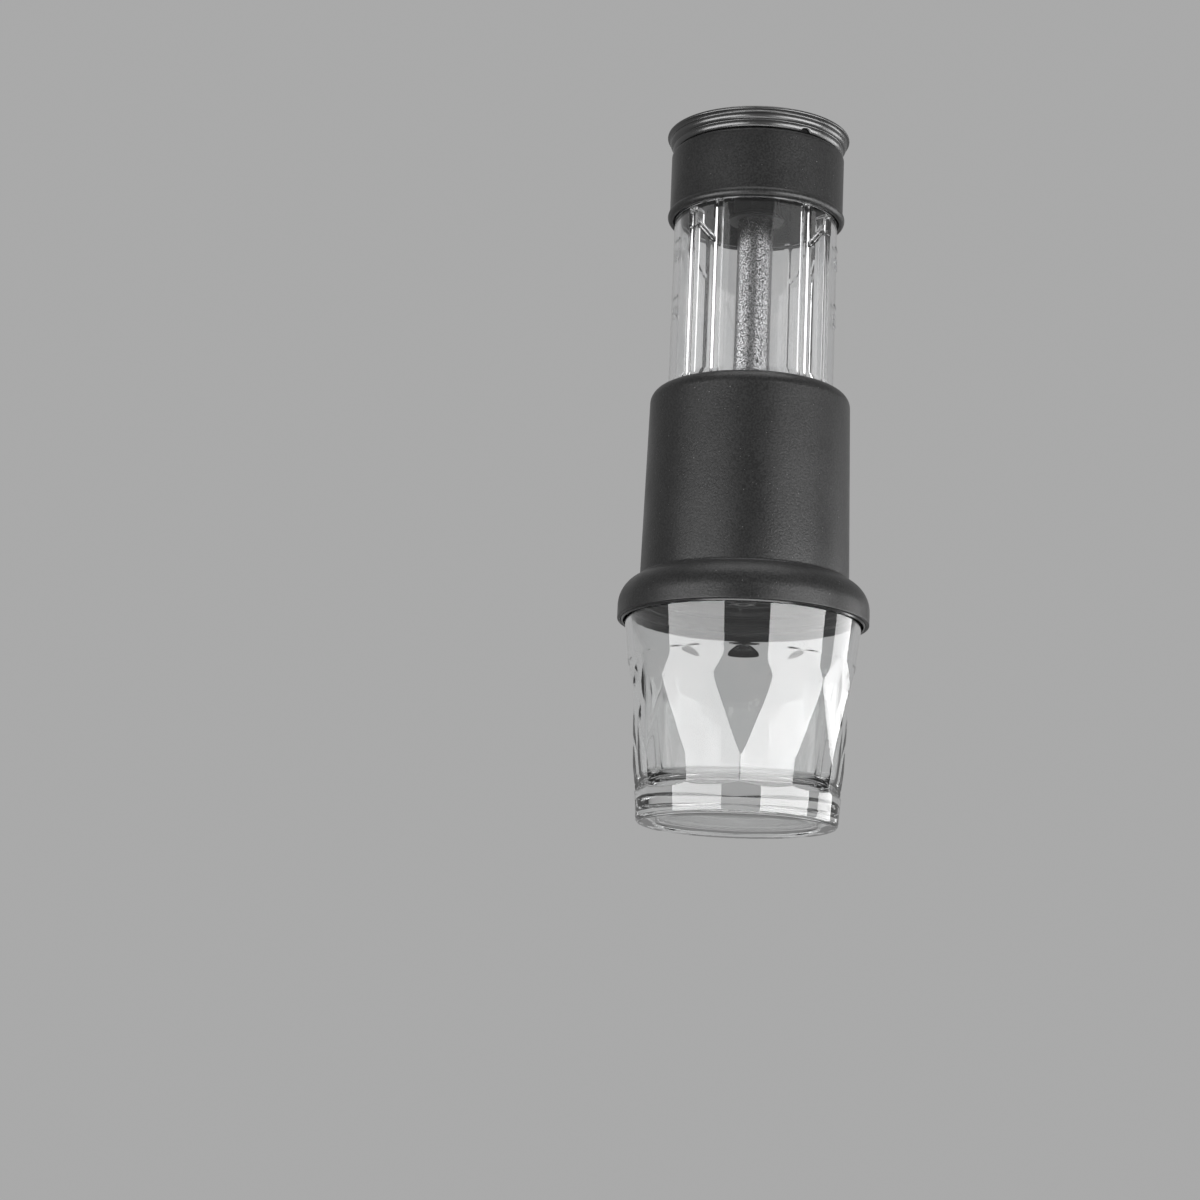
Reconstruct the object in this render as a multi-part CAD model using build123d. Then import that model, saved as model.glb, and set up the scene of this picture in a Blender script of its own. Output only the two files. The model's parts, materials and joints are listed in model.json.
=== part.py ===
from build123d import *
import os
from math import cos, radians, tan

# Handheld manual espresso maker standing on its glass cup.
# Millimetres, +Z up along the common axis, -Y is the front.
# The origin is the centre of the underside of the cup.

# ---------------------------------------------------------------- driving dimensions
# Clearances
running_gap = 0.10        # shaft in its bearing
seal_gap = 0.08           # sliding seal in its bore
loose_gap = 0.30          # round pieces that pass or turn without a bearing
thread_gap = 0.40         # room for the screw thread of a round piece
seat_gap = 0.10           # round pieces fixed inside one another
screw_gap = 0.20          # holes over screws and their heads
through = 1.0             # how far a cutting tool runs past the face it cuts

# Glass cup
cup_height = 62.0
cup_rim_radius = 35.0
cup_upper_taper = 6.5     # degrees from upright, above the waist
cup_lower_taper = 4.5     # degrees from upright, below the waist
cup_waist_height = 39.5   # where neighbouring kites touch
cup_wall = 2.2
cup_waist_wall = 3.0
cup_foot_wall = 3.8
cup_floor = 10.5
cup_inner_round = 5.0
cup_rim_round = 0.7
cup_foot_round = 1.4
cup_hollow_radius = 24.0  # shallow hollow under the base
cup_hollow_depth = 0.6
facet_count = 12
facet_margin = 1.3        # cutting tools, wider than their facet
facet_turn = -2.2         # degrees, the first kite from the front
kite_foot_height = 17.0
kite_arch_rise = 7.7
kite_bend = 10.0          # radius in the side view, where a kite turns into its arch
foot_ring_height = 9.5
foot_ledge_angle = 45     # degrees, the step from the flats down to the round foot

# Body shell
nest_depth = 2.5          # how far the rim of the cup goes into the flange
flange_height = 12.9
flange_shoulder = 8.4     # height of the round at the top of the flange
flange_lip = 1.0
body_draft = 1.0          # how much wider the foot of the body is than its top
body_top_round = 4.0
body_cove = 0.8
body_cove_width = 0.4
body_wall = 2.4
body_neck_wall = 2.9      # upper part of the wall, around the pump
neck_ring_wall = 4.9      # solid ring around the foot of the tank
neck_ring_height = 8.2    # threaded ring that holds the tank
neck_ring_slope = 2.0
lip_reveal = 0.4          # how far the inner ring shows below the shell

# Inner ring of the flange and the seat of the cup
inner_ring_wall = 0.6
inner_ring_roof = 1.7
seat_ring_height = 1.6
seat_ring_width = 3.6

# Filter holder
rib_face_height = 6.5     # ribs of the underside above the lip
rib_depth = 2.5
holder_floor = 2.0
holder_funnel = 1.0       # fall of the floor towards the outlet
holder_wall = 2.1
holder_rim_draft = 0.5
inner_rib_radius = 12.5
outer_rib_radius = 21.2
rib_thickness = 1.3
spoke_thickness = 1.2
spoke_count = 8
spout_radius = 4.2
spout_drop = 1.2          # spout below the face of the ribs
spout_bore = 1.5
spout_chamfer = 1.2
spout_notch = 0.55
spout_notch_depth = 1.0
spout_notch_count = 6

# Filter basket
basket_depth = 16.7
basket_sheet = 0.6
basket_draft = 0.7
basket_round = 1.6
basket_rim_height = 0.8
basket_floor_gap = 0.8
basket_hole = 0.7
basket_hole_pitch = 6.1
basket_hole_rings = 3

# Pump base, gasket and shower screen
gasket_height = 2.2
gasket_width = 5.0
screen_sheet = 0.6
screen_edge = 1.0         # how far the gasket holds the screen
screen_margin = 2.5       # from the gasket to the outermost ring of holes
screen_hole = 0.8
screen_hole_rings = 3
pump_base_height = 5.5
socket_wall = 2.5         # collar of the pump base round the foot of the cylinder
socket_height = 4.5
boss_radius = 3.2
boss_length = 10.0
boss_count = 3
boss_turn = 90            # degrees, the first boss from +X
boss_clear_of_wall = 2.5
base_screw_radius = 1.25
base_screw_head = 2.3
base_screw_sink = 0.3
base_screw_recess = 2.0
base_screw_length = 8.7

# Outlet valve
outlet_bore = 1.6
outlet_disc_radius = 3.2
outlet_disc_height = 1.0
outlet_disc_chamfer = 0.3
outlet_roof = 1.0
cage_height = 1.2
cage_hole = 0.8
cage_hole_count = 6
outlet_wire = 0.4
outlet_coil_radius = 1.9
outlet_turns = 3.0

# Pump
stroke = 14.0
cylinder_wall = 1.8
cylinder_flange = 3.0
cylinder_flange_height = 2.2
foot_seal_height = 0.6
foot_seal_width = 0.9
foot_seal_inset = 0.3     # from the outside of the cylinder
spring_wire = 1.0
spring_radius = 4.4
spring_turns = 5.5
spring_seat_turns = 0.9   # closed ends and play left at the full stroke
rod_radius = 5.35
rod_wall = 1.0
piston_height = 3.7
piston_plug = 7.0
boss_step = 0.35          # boss under the piston, inside the line of the rod
seal_groove_depth = 0.8
seal_height = 2.0
port_radius = 0.7
port_count = 8
ring_valve_height = 0.8
ring_valve_lift = 1.0
washer_height = 0.6
washer_bore = 1.5
washer_cover = 1.0        # how far the washer holds the ring valve
piston_top_gap = 0.8
bush_entry = 0.9          # how far the bush reaches into the cylinder
bush_wall = 2.55          # room for the water holes round the rod

# Tank and guide bush
tank_radius = 24.6
tank_wall = 1.8
tank_floor = 2.0
tank_skirt = 6.5
tank_show = 53.4          # tank in view between the body and the collar
tank_overlap = 0.5        # tank above the lip of the collar
tank_seal_height = 0.8
rib_pair_turn = 3.0       # degrees, the whole pattern from the front
rib_pair_angle = 46.25    # degrees, each pair either side of front and back
rib_pair_half = 11.95     # degrees, each rib from the middle of its pair
tank_rib_width = 2.0
tank_rib_depth = 2.0
outer_rib_drop = 3.0      # outer rib of a pair ends below the mouth
web_drop = 5.0            # web below the mouth of the tank
lug_width = 3.6
lug_height = 5.0
lug_depth = 3.0
web_thickness = 1.0
web_height = 3.2
web_fall = 7.5
floor_step = 0.6          # hole in the floor of the tank, wider than the cylinder
bush_flange = 3.0
bush_flange_height = 2.2
bush_chamfer = 0.8
bush_hole = 0.7
bush_hole_count = 8
wiper_width = 0.8
wiper_height = 1.0

# Press
collar_gap = 0.4
collar_wall = 1.1
bead_out = 0.5
bead_foot = 0.3
bead_height = 2.6
collar_top_round = 1.3
collar_top_lip = 0.6      # inward lip over the ring of the hub
press_end_gap = 0.7       # press above the mouth of the tank at the full stroke
hub_wall = 1.35
hub_disc_out = 1.6
hub_disc_height = 1.2
hub_ring_height = 5.4
hub_ring_width = 2.2
arm_width = 4.0
arm_height = 3.0
arm_count = 4
arm_turn = 45             # degrees, the first arm from +X
hub_web = 1.8
hub_screw_head = 4.2
hub_screw_head_height = 2.2
hub_screw_radius = 2.0
hub_screw_length = 9.0
hub_screw_recess = 4.3
hub_socket_radius = 1.7
hub_socket_floor = 0.8
insert_length = 8.0

# Lid
lid_seal_height = 0.8
lid_seal_width = 1.4
lid_skirt = 2.7
lid_skirt_wall = 1.8
lid_seam = 0.15
lid_seam_depth = 0.35
lid_height = 5.8
lid_flare = 2.8
lid_rim_height = 0.9
lid_rim_round = 0.5
lid_rim_width = 4.0
lid_roof = 1.7
lid_notch_radius = 1.1
lid_notch_depth = 2.2
lid_notch_angle = 30.0    # degrees from the front, towards +X
pad_height = 0.9
pad_dome = 0.5
# Side of the lid between seam and rim: shares of the flare and of the height at the
# middle and the end of each flute, then at the middle of the cove under the rim
lower_flute = ((0.34, 0.17), (0.32, 0.38))
upper_flute = ((0.66, 0.53), (0.62, 0.72))
rim_cove = (0.74, 0.80)

# ---------------------------------------------------------------- heights, from the cup up
lip_z = cup_height - nest_depth
shell_lip_z = lip_z + lip_reveal
flange_top_z = lip_z + flange_height
ring_roof_z = cup_height + seat_ring_height
rib_face_z = lip_z + rib_face_height
holder_floor_z = rib_face_z + rib_depth
basket_floor_z = holder_floor_z + holder_floor + basket_floor_gap
basket_rim_z = basket_floor_z + basket_depth
basket_top_z = basket_rim_z + basket_rim_height
pump_base_z = basket_top_z + gasket_height
chamber_z = pump_base_z + pump_base_height
washer_z = chamber_z + stroke + (spring_turns + spring_seat_turns) * spring_wire
ring_valve_z = washer_z + washer_height
piston_face_z = ring_valve_z + ring_valve_height + ring_valve_lift
piston_top_z = piston_face_z + piston_height
bush_foot_z = piston_top_z + piston_top_gap
cylinder_top_z = bush_foot_z + bush_entry
tank_floor_z = cylinder_top_z + tank_seal_height
bush_flange_z = tank_floor_z + tank_floor
body_top_z = bush_flange_z + bush_flange_height
collar_lip_z = body_top_z + tank_show
tank_top_z = collar_lip_z + tank_overlap
arm_z = tank_top_z + stroke + press_end_gap
hub_top_z = arm_z + arm_height
rod_top_z = hub_top_z - hub_screw_recess - hub_web
lid_seal_z = arm_z + hub_ring_height
collar_top_z = lid_seal_z + lid_seal_height
lid_foot_z = collar_top_z + lid_seam
lid_top_z = lid_foot_z + lid_height

# ---------------------------------------------------------------- radii that follow
inner_ring_bore = cup_rim_radius + loose_gap
inner_ring_radius = inner_ring_bore + inner_ring_wall
recess_radius = inner_ring_radius + seat_gap
flange_radius = recess_radius + flange_lip
neck_ring_bore = tank_radius + loose_gap
body_top_radius = neck_ring_bore + neck_ring_wall
body_foot_radius = body_top_radius + body_draft
body_bore = body_foot_radius - body_wall
neck_bore = body_top_radius - body_neck_wall
holder_radius = body_bore - thread_gap
holder_bore = holder_radius - holder_wall
basket_radius = holder_bore - thread_gap
basket_rim_radius = holder_radius - thread_gap
pump_base_radius = body_bore - seat_gap
gasket_radius = pump_base_radius - seat_gap
gasket_bore = gasket_radius - gasket_width
screen_radius = gasket_bore + screen_edge
boss_centre = neck_bore - boss_clear_of_wall
outlet_cavity = outlet_disc_radius + loose_gap + seat_gap
bush_bore = rod_radius + running_gap
cylinder_bore = bush_bore + bush_wall
cylinder_radius = cylinder_bore + cylinder_wall
foot_seal_radius = cylinder_radius - foot_seal_inset
bush_spigot = cylinder_bore - seat_gap
rod_bore = rod_radius - rod_wall
piston_radius = cylinder_bore - loose_gap
piston_groove_radius = piston_radius - seal_groove_depth
piston_seal_radius = cylinder_bore - seal_gap
piston_boss = rod_radius - boss_step
ring_valve_bore = piston_boss + loose_gap
ring_valve_radius = piston_radius - loose_gap
washer_radius = ring_valve_bore + washer_cover
port_centre = (ring_valve_bore + ring_valve_radius) / 2
tank_bore = tank_radius - tank_wall
floor_hole = cylinder_bore + floor_step
collar_bore = tank_radius + collar_gap
collar_radius = collar_bore + collar_wall
hub_radius = rod_radius + seat_gap + hub_wall
hub_disc_radius = hub_radius + hub_disc_out
hub_ring_radius = collar_bore - seat_gap
hub_ring_bore = hub_ring_radius - hub_ring_width
lid_skirt_radius = hub_ring_bore - loose_gap
lid_seam_radius = collar_radius - collar_top_round
lid_rim_radius = lid_seam_radius + lid_flare
pad_radius = lid_rim_radius - lid_rim_width
half_facet = 180 / facet_count      # degrees


def cup_outer_radius(height):
    """Radius of the round outside of the cup before its facets are cut."""
    waist = cup_rim_radius - (cup_height - cup_waist_height) * tan(radians(cup_upper_taper))
    taper = cup_upper_taper if height > cup_waist_height else cup_lower_taper
    return waist + (height - cup_waist_height) * tan(radians(taper))


# ---------------------------------------------------------------- shared shapes
def turned(*edges):
    """Solid turned about the upright axis from an outline drawn as (radius, height)."""
    return revolve(Plane.XZ * make_face(Curve() + list(edges)), Axis.Z)


def turned_outline(*points):
    """Solid turned from a closed outline of straight runs."""
    return turned(Polyline(*points, close=True))


def ring(inner, outer, low, high):
    """Plain ring about the upright axis; an inner radius of 0 gives a disc."""
    section = Circle(outer)
    if inner > 0:
        section = section - Circle(inner)
    return Pos(0, 0, low) * extrude(section, high - low)


def drilled(radius, centre, count, low, high, turn=0.0):
    """Equally spaced upright pins, taken away from a piece to leave holes."""
    pins = Sketch() + [place * Circle(radius) for place in PolarLocations(centre, count, turn)]
    return Pos(0, 0, low) * extrude(pins, high - low)


def sieve(radius, pitch, rings, low, high):
    """Pins in concentric rings, six more on each ring than on the one inside it."""
    pins = Sketch() + Circle(radius)
    for step in range(1, rings + 1):
        pins += [place * Circle(radius) for place in PolarLocations(pitch * step, 6 * step)]
    return Pos(0, 0, low) * extrude(pins, high - low)


def coil(radius, wire, low, high, turns):
    """Round-wire compression spring between two heights."""
    climb = high - low - wire
    path = Pos(0, 0, low + wire / 2) * Helix(climb / turns, climb, radius)
    start = Plane(path @ 0, z_dir=path % 0)
    return sweep(start * Circle(wire / 2), path=path, is_frenet=True)


def export(name, shape):
    """Write one named piece."""
    export_step(shape, f"parts/{name}.step")


# ---------------------------------------------------------------- glass cup
def facet_cutter(inner_edge, low, high, low_fall=0.0):
    """Tool for one facet: the inner edge carried straight across and out past the cup."""
    outside = cup_rim_radius + through
    start, end = inner_edge[0] @ 0, inner_edge[-1] @ 1
    back = Polyline((end.X, end.Y), (outside, high), (outside, low - low_fall), (start.X, start.Y))
    half_width = cup_rim_radius * tan(radians(half_facet * facet_margin))
    return extrude(Plane.XZ * make_face(Curve() + [*inner_edge, back]), half_width, both=True)


def kite_cutter():
    """Kite: a flat that leans out upwards from its foot and bends outwards into a rounded arch."""
    flat = cup_outer_radius(cup_waist_height) * cos(radians(half_facet))
    foot = cup_outer_radius(kite_foot_height)
    arch_z = cup_waist_height + kite_arch_rise
    side = FilletPolyline(
        (foot, kite_foot_height),
        (flat, cup_waist_height),
        (cup_outer_radius(arch_z), arch_z),
        radius=kite_bend,
    )
    return facet_cutter([side], kite_foot_height, arch_z + through)


def wedge_cutter():
    """Flat between two kites: it starts at their corner, meets the next one under the point of
    the kite between them, and ends on the ledge of the foot ring."""
    top = cup_outer_radius(cup_waist_height)
    foot = cup_outer_radius(kite_foot_height) * cos(radians(half_facet))
    lean = (top - foot) / (cup_waist_height - kite_foot_height)
    ring_edge = top - lean * (cup_waist_height - foot_ring_height)
    reach = cup_rim_radius + through - ring_edge
    inner_edge = Line((ring_edge, foot_ring_height), (top, cup_waist_height))
    ledge_fall = reach * tan(radians(foot_ledge_angle))
    return facet_cutter([inner_edge], foot_ring_height, cup_waist_height, ledge_fall)


def glass_cup():
    """Tapered cup with kites round its side, flats between them and a thick round foot."""
    blank = turned_outline(
        (0, 0),
        (cup_outer_radius(0), 0),
        (cup_outer_radius(cup_waist_height), cup_waist_height),
        (cup_rim_radius, cup_height),
        (0, cup_height),
    )
    foot_edge = blank.edges().filter_by(GeomType.CIRCLE).sort_by(Axis.Z)[0]
    blank = fillet(foot_edge, cup_foot_round)
    kite, wedge = kite_cutter(), wedge_cutter()
    for number in range(facet_count):
        middle = -90 + facet_turn + 2 * half_facet * number
        blank -= Rot(0, 0, middle) * kite
        blank -= Rot(0, 0, middle + half_facet) * wedge
    inner_foot = cup_outer_radius(cup_floor) - cup_foot_wall
    inner_waist = cup_outer_radius(cup_waist_height) - cup_waist_wall
    inside = turned(
        FilletPolyline(
            (0, cup_floor),
            (inner_foot, cup_floor),
            (inner_waist, cup_waist_height),
            radius=[cup_inner_round],
        ),
        Line((inner_waist, cup_waist_height), (cup_rim_radius - cup_wall, cup_height)),
        Polyline((cup_rim_radius - cup_wall, cup_height), (0, cup_height), (0, cup_floor)),
    )
    cup = blank - inside - ring(0, cup_hollow_radius, 0, cup_hollow_depth)
    rim_edges = cup.edges().filter_by(GeomType.CIRCLE).group_by(Axis.Z)[-1]
    return fillet(rim_edges, cup_rim_round)


# ---------------------------------------------------------------- body
def body_shell():
    """Moulded shell: flange, slightly tapered side, round shoulder and inner screw bosses."""
    shoulder_z = flange_top_z - flange_shoulder
    cove_z = flange_top_z + body_cove
    cove_out = body_foot_radius + body_cove_width
    shell = turned(
        Polyline((recess_radius, shell_lip_z), (flange_radius, shell_lip_z), (flange_radius, shoulder_z)),
        TangentArc((flange_radius, shoulder_z), (cove_out, flange_top_z), tangent=(0, 1)),
        TangentArc((body_foot_radius, cove_z), (cove_out, flange_top_z), tangent=(0, -1)),
        Line((body_foot_radius, cove_z), (body_top_radius, body_top_z - body_top_round)),
        TangentArc(
            (body_top_radius, body_top_z - body_top_round),
            (body_top_radius - body_top_round, body_top_z),
            tangent=(body_top_radius - body_foot_radius, body_top_z - body_top_round - cove_z),
        ),
        Polyline(
            (body_top_radius - body_top_round, body_top_z),
            (neck_ring_bore, body_top_z),
            (neck_ring_bore, body_top_z - neck_ring_height),
            (neck_bore, body_top_z - neck_ring_height - neck_ring_slope),
            (neck_bore, chamber_z),
            (body_bore, chamber_z),
            (body_bore, ring_roof_z + inner_ring_roof),
            (recess_radius, ring_roof_z + inner_ring_roof),
            (recess_radius, shell_lip_z),
        ),
    )
    top_z = chamber_z + boss_length
    pilot = base_screw_radius
    bosses = drilled(boss_radius, boss_centre, boss_count, chamber_z, top_z, turn=boss_turn)
    pilots = drilled(pilot, boss_centre, boss_count, chamber_z, top_z - through, turn=boss_turn)
    return shell + bosses - pilots


def inner_ring():
    """Gloss ring that lines the recess of the flange and roofs it."""
    return turned_outline(
        (inner_ring_bore, lip_z),
        (inner_ring_radius, lip_z),
        (inner_ring_radius, ring_roof_z + inner_ring_roof),
        (body_bore + seat_gap, ring_roof_z + inner_ring_roof),
        (body_bore + seat_gap, ring_roof_z),
        (inner_ring_bore, ring_roof_z),
    )


def cup_seat():
    """Soft ring under the roof of the recess, which the rim of the cup meets."""
    outer = inner_ring_bore - seat_gap
    return ring(outer - seat_ring_width, outer, cup_height, ring_roof_z)


# ---------------------------------------------------------------- filter holder and basket
def filter_holder():
    """Cup that screws in from below; its underside has two ring ribs, spokes and an outer rim."""
    wall = turned_outline(
        (spout_bore, holder_floor_z),
        (holder_bore, holder_floor_z),
        (holder_bore + holder_rim_draft, rib_face_z),
        (holder_radius, rib_face_z),
        (holder_radius, basket_rim_z),
        (holder_bore, basket_rim_z),
        (holder_bore, holder_floor_z + holder_floor),
        (spout_bore, holder_floor_z + holder_floor - holder_funnel),
    )
    for radius in (inner_rib_radius, outer_rib_radius):
        half = rib_thickness / 2
        wall += ring(radius - half, radius + half, rib_face_z, holder_floor_z)
    long_spoke = outer_rib_radius - inner_rib_radius
    short_spoke = inner_rib_radius - spout_radius
    step = 360 / spoke_count
    outer = Pos(inner_rib_radius + long_spoke / 2, 0, 0) * Rectangle(long_spoke, spoke_thickness)
    inner = Pos(spout_radius + short_spoke / 2, 0, 0) * Rectangle(short_spoke, spoke_thickness)
    for number in range(spoke_count):
        wall += Pos(0, 0, rib_face_z) * Rot(0, 0, number * step) * extrude(outer, rib_depth)
        wall += Pos(0, 0, rib_face_z) * Rot(0, 0, (number + 0.5) * step) * extrude(inner, rib_depth)
    return wall - ring(0, spout_radius, rib_face_z, holder_floor_z)


def outlet_spout():
    """Nozzle in the middle of the underside, notched so that drops fall clear."""
    low = rib_face_z - spout_drop
    outer = spout_radius - seat_gap
    mouth = outer - spout_chamfer
    spout = turned_outline(
        (spout_bore, low),
        (mouth, low),
        (outer, low + spout_chamfer),
        (outer, holder_floor_z),
        (spout_bore, holder_floor_z),
    )
    middle = (spout_bore + mouth) / 2
    return spout - drilled(spout_notch, middle, spout_notch_count, low, low + spout_notch_depth)


def filter_basket():
    """Pressed steel basket: rolled rim, slightly tapered side and a sieve for a floor."""
    foot = basket_radius - basket_draft
    basket = turned(
        FilletPolyline(
            (0, basket_floor_z),
            (foot, basket_floor_z),
            (basket_radius, basket_rim_z),
            (basket_rim_radius, basket_rim_z),
            radius=[basket_round, 0],
        ),
        Polyline(
            (basket_rim_radius, basket_rim_z),
            (basket_rim_radius, basket_top_z),
            (basket_radius - basket_sheet, basket_top_z),
        ),
        FilletPolyline(
            (basket_radius - basket_sheet, basket_top_z),
            (foot - basket_sheet, basket_floor_z + basket_sheet),
            (0, basket_floor_z + basket_sheet),
            radius=[basket_round - basket_sheet],
        ),
        Line((0, basket_floor_z + basket_sheet), (0, basket_floor_z)),
    )
    low, high = basket_floor_z - through, basket_floor_z + basket_sheet + through
    return basket - sieve(basket_hole, basket_hole_pitch, basket_hole_rings, low, high)


def brew_gasket():
    """Stepped soft ring: the basket presses it from below, and it traps the screen."""
    step_z = pump_base_z - screen_sheet
    return turned_outline(
        (gasket_bore, basket_top_z),
        (gasket_radius, basket_top_z),
        (gasket_radius, pump_base_z),
        (screen_radius + seat_gap, pump_base_z),
        (screen_radius + seat_gap, step_z),
        (gasket_bore, step_z),
    )


def shower_screen():
    """Flat sieve that spreads the water over the coffee."""
    low = pump_base_z - screen_sheet
    pitch = (gasket_bore - screen_margin) / screen_hole_rings
    holes = sieve(screen_hole, pitch, screen_hole_rings, low - through, pump_base_z + through)
    return ring(0, screen_radius, low, pump_base_z) - holes


# ---------------------------------------------------------------- pump
def pump_base():
    """Disc that closes the pump: outlet valve cavity, cylinder socket and screw holes."""
    base = ring(0, pump_base_radius, pump_base_z, chamber_z)
    socket = cylinder_radius + seat_gap
    base += ring(socket, socket + socket_wall, chamber_z, chamber_z + socket_height)
    base -= ring(0, outlet_bore, pump_base_z, chamber_z)
    base -= ring(0, outlet_cavity, pump_base_z, chamber_z - outlet_roof)
    base -= cylinder_seal()
    hole, head_room = base_screw_radius + screw_gap, base_screw_head + screw_gap
    recess_z = pump_base_z + base_screw_recess
    base -= drilled(hole, boss_centre, boss_count, pump_base_z, chamber_z, turn=boss_turn)
    base -= drilled(head_room, boss_centre, boss_count, pump_base_z, recess_z, turn=boss_turn)
    return base


def base_screws():
    """Three pan-head screws up through the pump base into the bosses of the body."""
    head_z = pump_base_z + base_screw_sink
    shank_z = pump_base_z + base_screw_recess
    tip_z = shank_z + base_screw_length
    shank = base_screw_radius - seat_gap
    heads = drilled(base_screw_head, boss_centre, boss_count, head_z, shank_z, turn=boss_turn)
    return heads + drilled(shank, boss_centre, boss_count, shank_z, tip_z, turn=boss_turn)


def cylinder_seal():
    """Square ring in the pump base under the foot of the cylinder."""
    inner = foot_seal_radius - foot_seal_width
    return ring(inner, foot_seal_radius, chamber_z - foot_seal_height, chamber_z)


def pump_cylinder():
    """Tube that the piston runs in, flanged at its top."""
    tube = ring(cylinder_bore, cylinder_radius, chamber_z, cylinder_top_z)
    flange_low = cylinder_top_z - cylinder_flange_height
    return tube + ring(cylinder_bore, cylinder_radius + cylinder_flange, flange_low, cylinder_top_z)


def outlet_disc():
    """Valve disc that the small spring holds up against the outlet hole."""
    top = chamber_z - outlet_roof
    disc = ring(0, outlet_disc_radius, top - outlet_disc_height, top)
    return chamfer(disc.edges().group_by(Axis.Z)[0], outlet_disc_chamfer)


def valve_cage():
    """Drilled plug that closes the outlet cavity and carries the small spring."""
    plug = ring(0, outlet_cavity - seat_gap, pump_base_z, pump_base_z + cage_height)
    return plug - drilled(cage_hole, outlet_coil_radius, cage_hole_count, pump_base_z, chamber_z)


def outlet_spring():
    """Small spring under the outlet disc."""
    top = chamber_z - outlet_roof - outlet_disc_height
    return coil(outlet_coil_radius, outlet_wire, pump_base_z + cage_height, top, outlet_turns)


def return_spring():
    """Spring that lifts the press again after each stroke."""
    return coil(spring_radius, spring_wire, chamber_z, washer_z, spring_turns)


def piston():
    """Grooved piston with a ring of ports, a boss below and a plug that fills the rod's foot."""
    groove_low = piston_face_z + (piston_height - seal_height) / 2
    body = turned_outline(
        (0, ring_valve_z),
        (piston_boss, ring_valve_z),
        (piston_boss, piston_face_z),
        (piston_radius, piston_face_z),
        (piston_radius, groove_low),
        (piston_groove_radius, groove_low),
        (piston_groove_radius, groove_low + seal_height),
        (piston_radius, groove_low + seal_height),
        (piston_radius, piston_top_z),
        (rod_bore - seat_gap, piston_top_z),
        (rod_bore - seat_gap, piston_top_z + piston_plug),
        (0, piston_top_z + piston_plug),
    )
    return body - drilled(port_radius, port_centre, port_count, piston_face_z, piston_top_z)


def piston_seal():
    """Soft ring in the groove of the piston, running in the cylinder."""
    low = piston_face_z + (piston_height - seal_height) / 2 + seat_gap
    inner = piston_groove_radius + seat_gap
    return ring(inner, piston_seal_radius, low, low + seal_height - 2 * seat_gap)


def ring_valve():
    """Floating ring under the piston: it closes the ports on the way down."""
    return ring(ring_valve_bore, ring_valve_radius, ring_valve_z, ring_valve_z + ring_valve_height)


def valve_washer():
    """Washer under the boss of the piston that keeps the ring valve and seats the spring."""
    return ring(washer_bore, washer_radius, washer_z, ring_valve_z)


def piston_rod():
    """Steel tube between the piston and the hub of the press."""
    return ring(rod_bore, rod_radius, piston_top_z, rod_top_z)


def rod_insert():
    """Threaded plug in the top of the tube for the hub screw."""
    return ring(hub_screw_radius + seat_gap, rod_bore - seat_gap, rod_top_z - insert_length, rod_top_z)


def guide_bush():
    """Flanged bearing of the rod in the floor of the tank, drilled to let the water in."""
    bush = ring(bush_bore, bush_spigot, bush_foot_z, bush_flange_z)
    bush += ring(bush_bore, floor_hole + bush_flange, bush_flange_z, body_top_z)
    top_edge = bush.edges().filter_by(GeomType.CIRCLE).group_by(Axis.Z)[-1].sort_by(SortBy.RADIUS)[-1]
    bush = chamfer(top_edge, bush_chamfer)
    hole_centre = (bush_bore + bush_spigot) / 2
    return bush - drilled(bush_hole, hole_centre, bush_hole_count, bush_foot_z, body_top_z)


def rod_wiper():
    """Pale wiper ring on top of the bush, round the foot of the rod."""
    return ring(bush_bore, bush_bore + wiper_width, body_top_z, body_top_z + wiper_height)


# ---------------------------------------------------------------- tank
def tank_rib(angle, top, width, depth, low):
    """Upright bar on the inside of the tank at an angle from the front."""
    reach = tank_wall / 2
    centre = tank_bore - depth / 2 + reach / 2
    bar = Pos(centre, 0, low) * extrude(Rectangle(depth + reach, width), top - low)
    return Rot(0, 0, angle - 90) * bar


def tank_web(inner_angle, outer_angle):
    """Thin web that falls from the outer rib, beside its lug, to the tall rib of its pair."""
    middle = (inner_angle + outer_angle) / 2
    half = tank_bore * tan(radians(abs(outer_angle - inner_angle) / 2)) - tank_rib_width / 2
    side = 1 if outer_angle > inner_angle else -1
    high = tank_top_z - web_drop
    face = Polyline(
        (side * half, high),
        (-side * half, high - web_fall),
        (-side * half, high - web_fall - web_height),
        (side * half, high - web_height),
        close=True,
    )
    web = extrude(Plane.YZ * make_face(face), web_thickness + tank_wall / 2)
    return Rot(0, 0, middle - 90) * Pos(tank_bore - web_thickness, 0, 0) * web


def water_tank():
    """Clear open-topped tank: wall, floor, threaded skirt, four pairs of ribs, lugs and webs."""
    floor_top = tank_floor_z + tank_floor
    tank = ring(tank_bore, tank_radius, tank_floor_z - tank_skirt, tank_top_z)
    tank += ring(floor_hole, tank_bore + tank_wall / 2, tank_floor_z, floor_top)
    for back in (0, 180):
        for side in (-1, 1):
            pair = back + rib_pair_turn + side * rib_pair_angle
            inner = pair - side * rib_pair_half
            outer = pair + side * rib_pair_half
            lug_top = tank_top_z - outer_rib_drop
            tank += tank_rib(inner, tank_top_z, tank_rib_width, tank_rib_depth, floor_top)
            tank += tank_rib(outer, lug_top, tank_rib_width, tank_rib_depth, floor_top)
            tank += tank_rib(outer, lug_top, lug_width, lug_depth, lug_top - lug_height)
            tank += tank_web(inner, outer)
    return tank


def tank_seal():
    """Flat ring between the flange of the cylinder and the floor of the tank."""
    return ring(floor_hole, cylinder_radius + cylinder_flange - seat_gap, cylinder_top_z, tank_floor_z)


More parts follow.
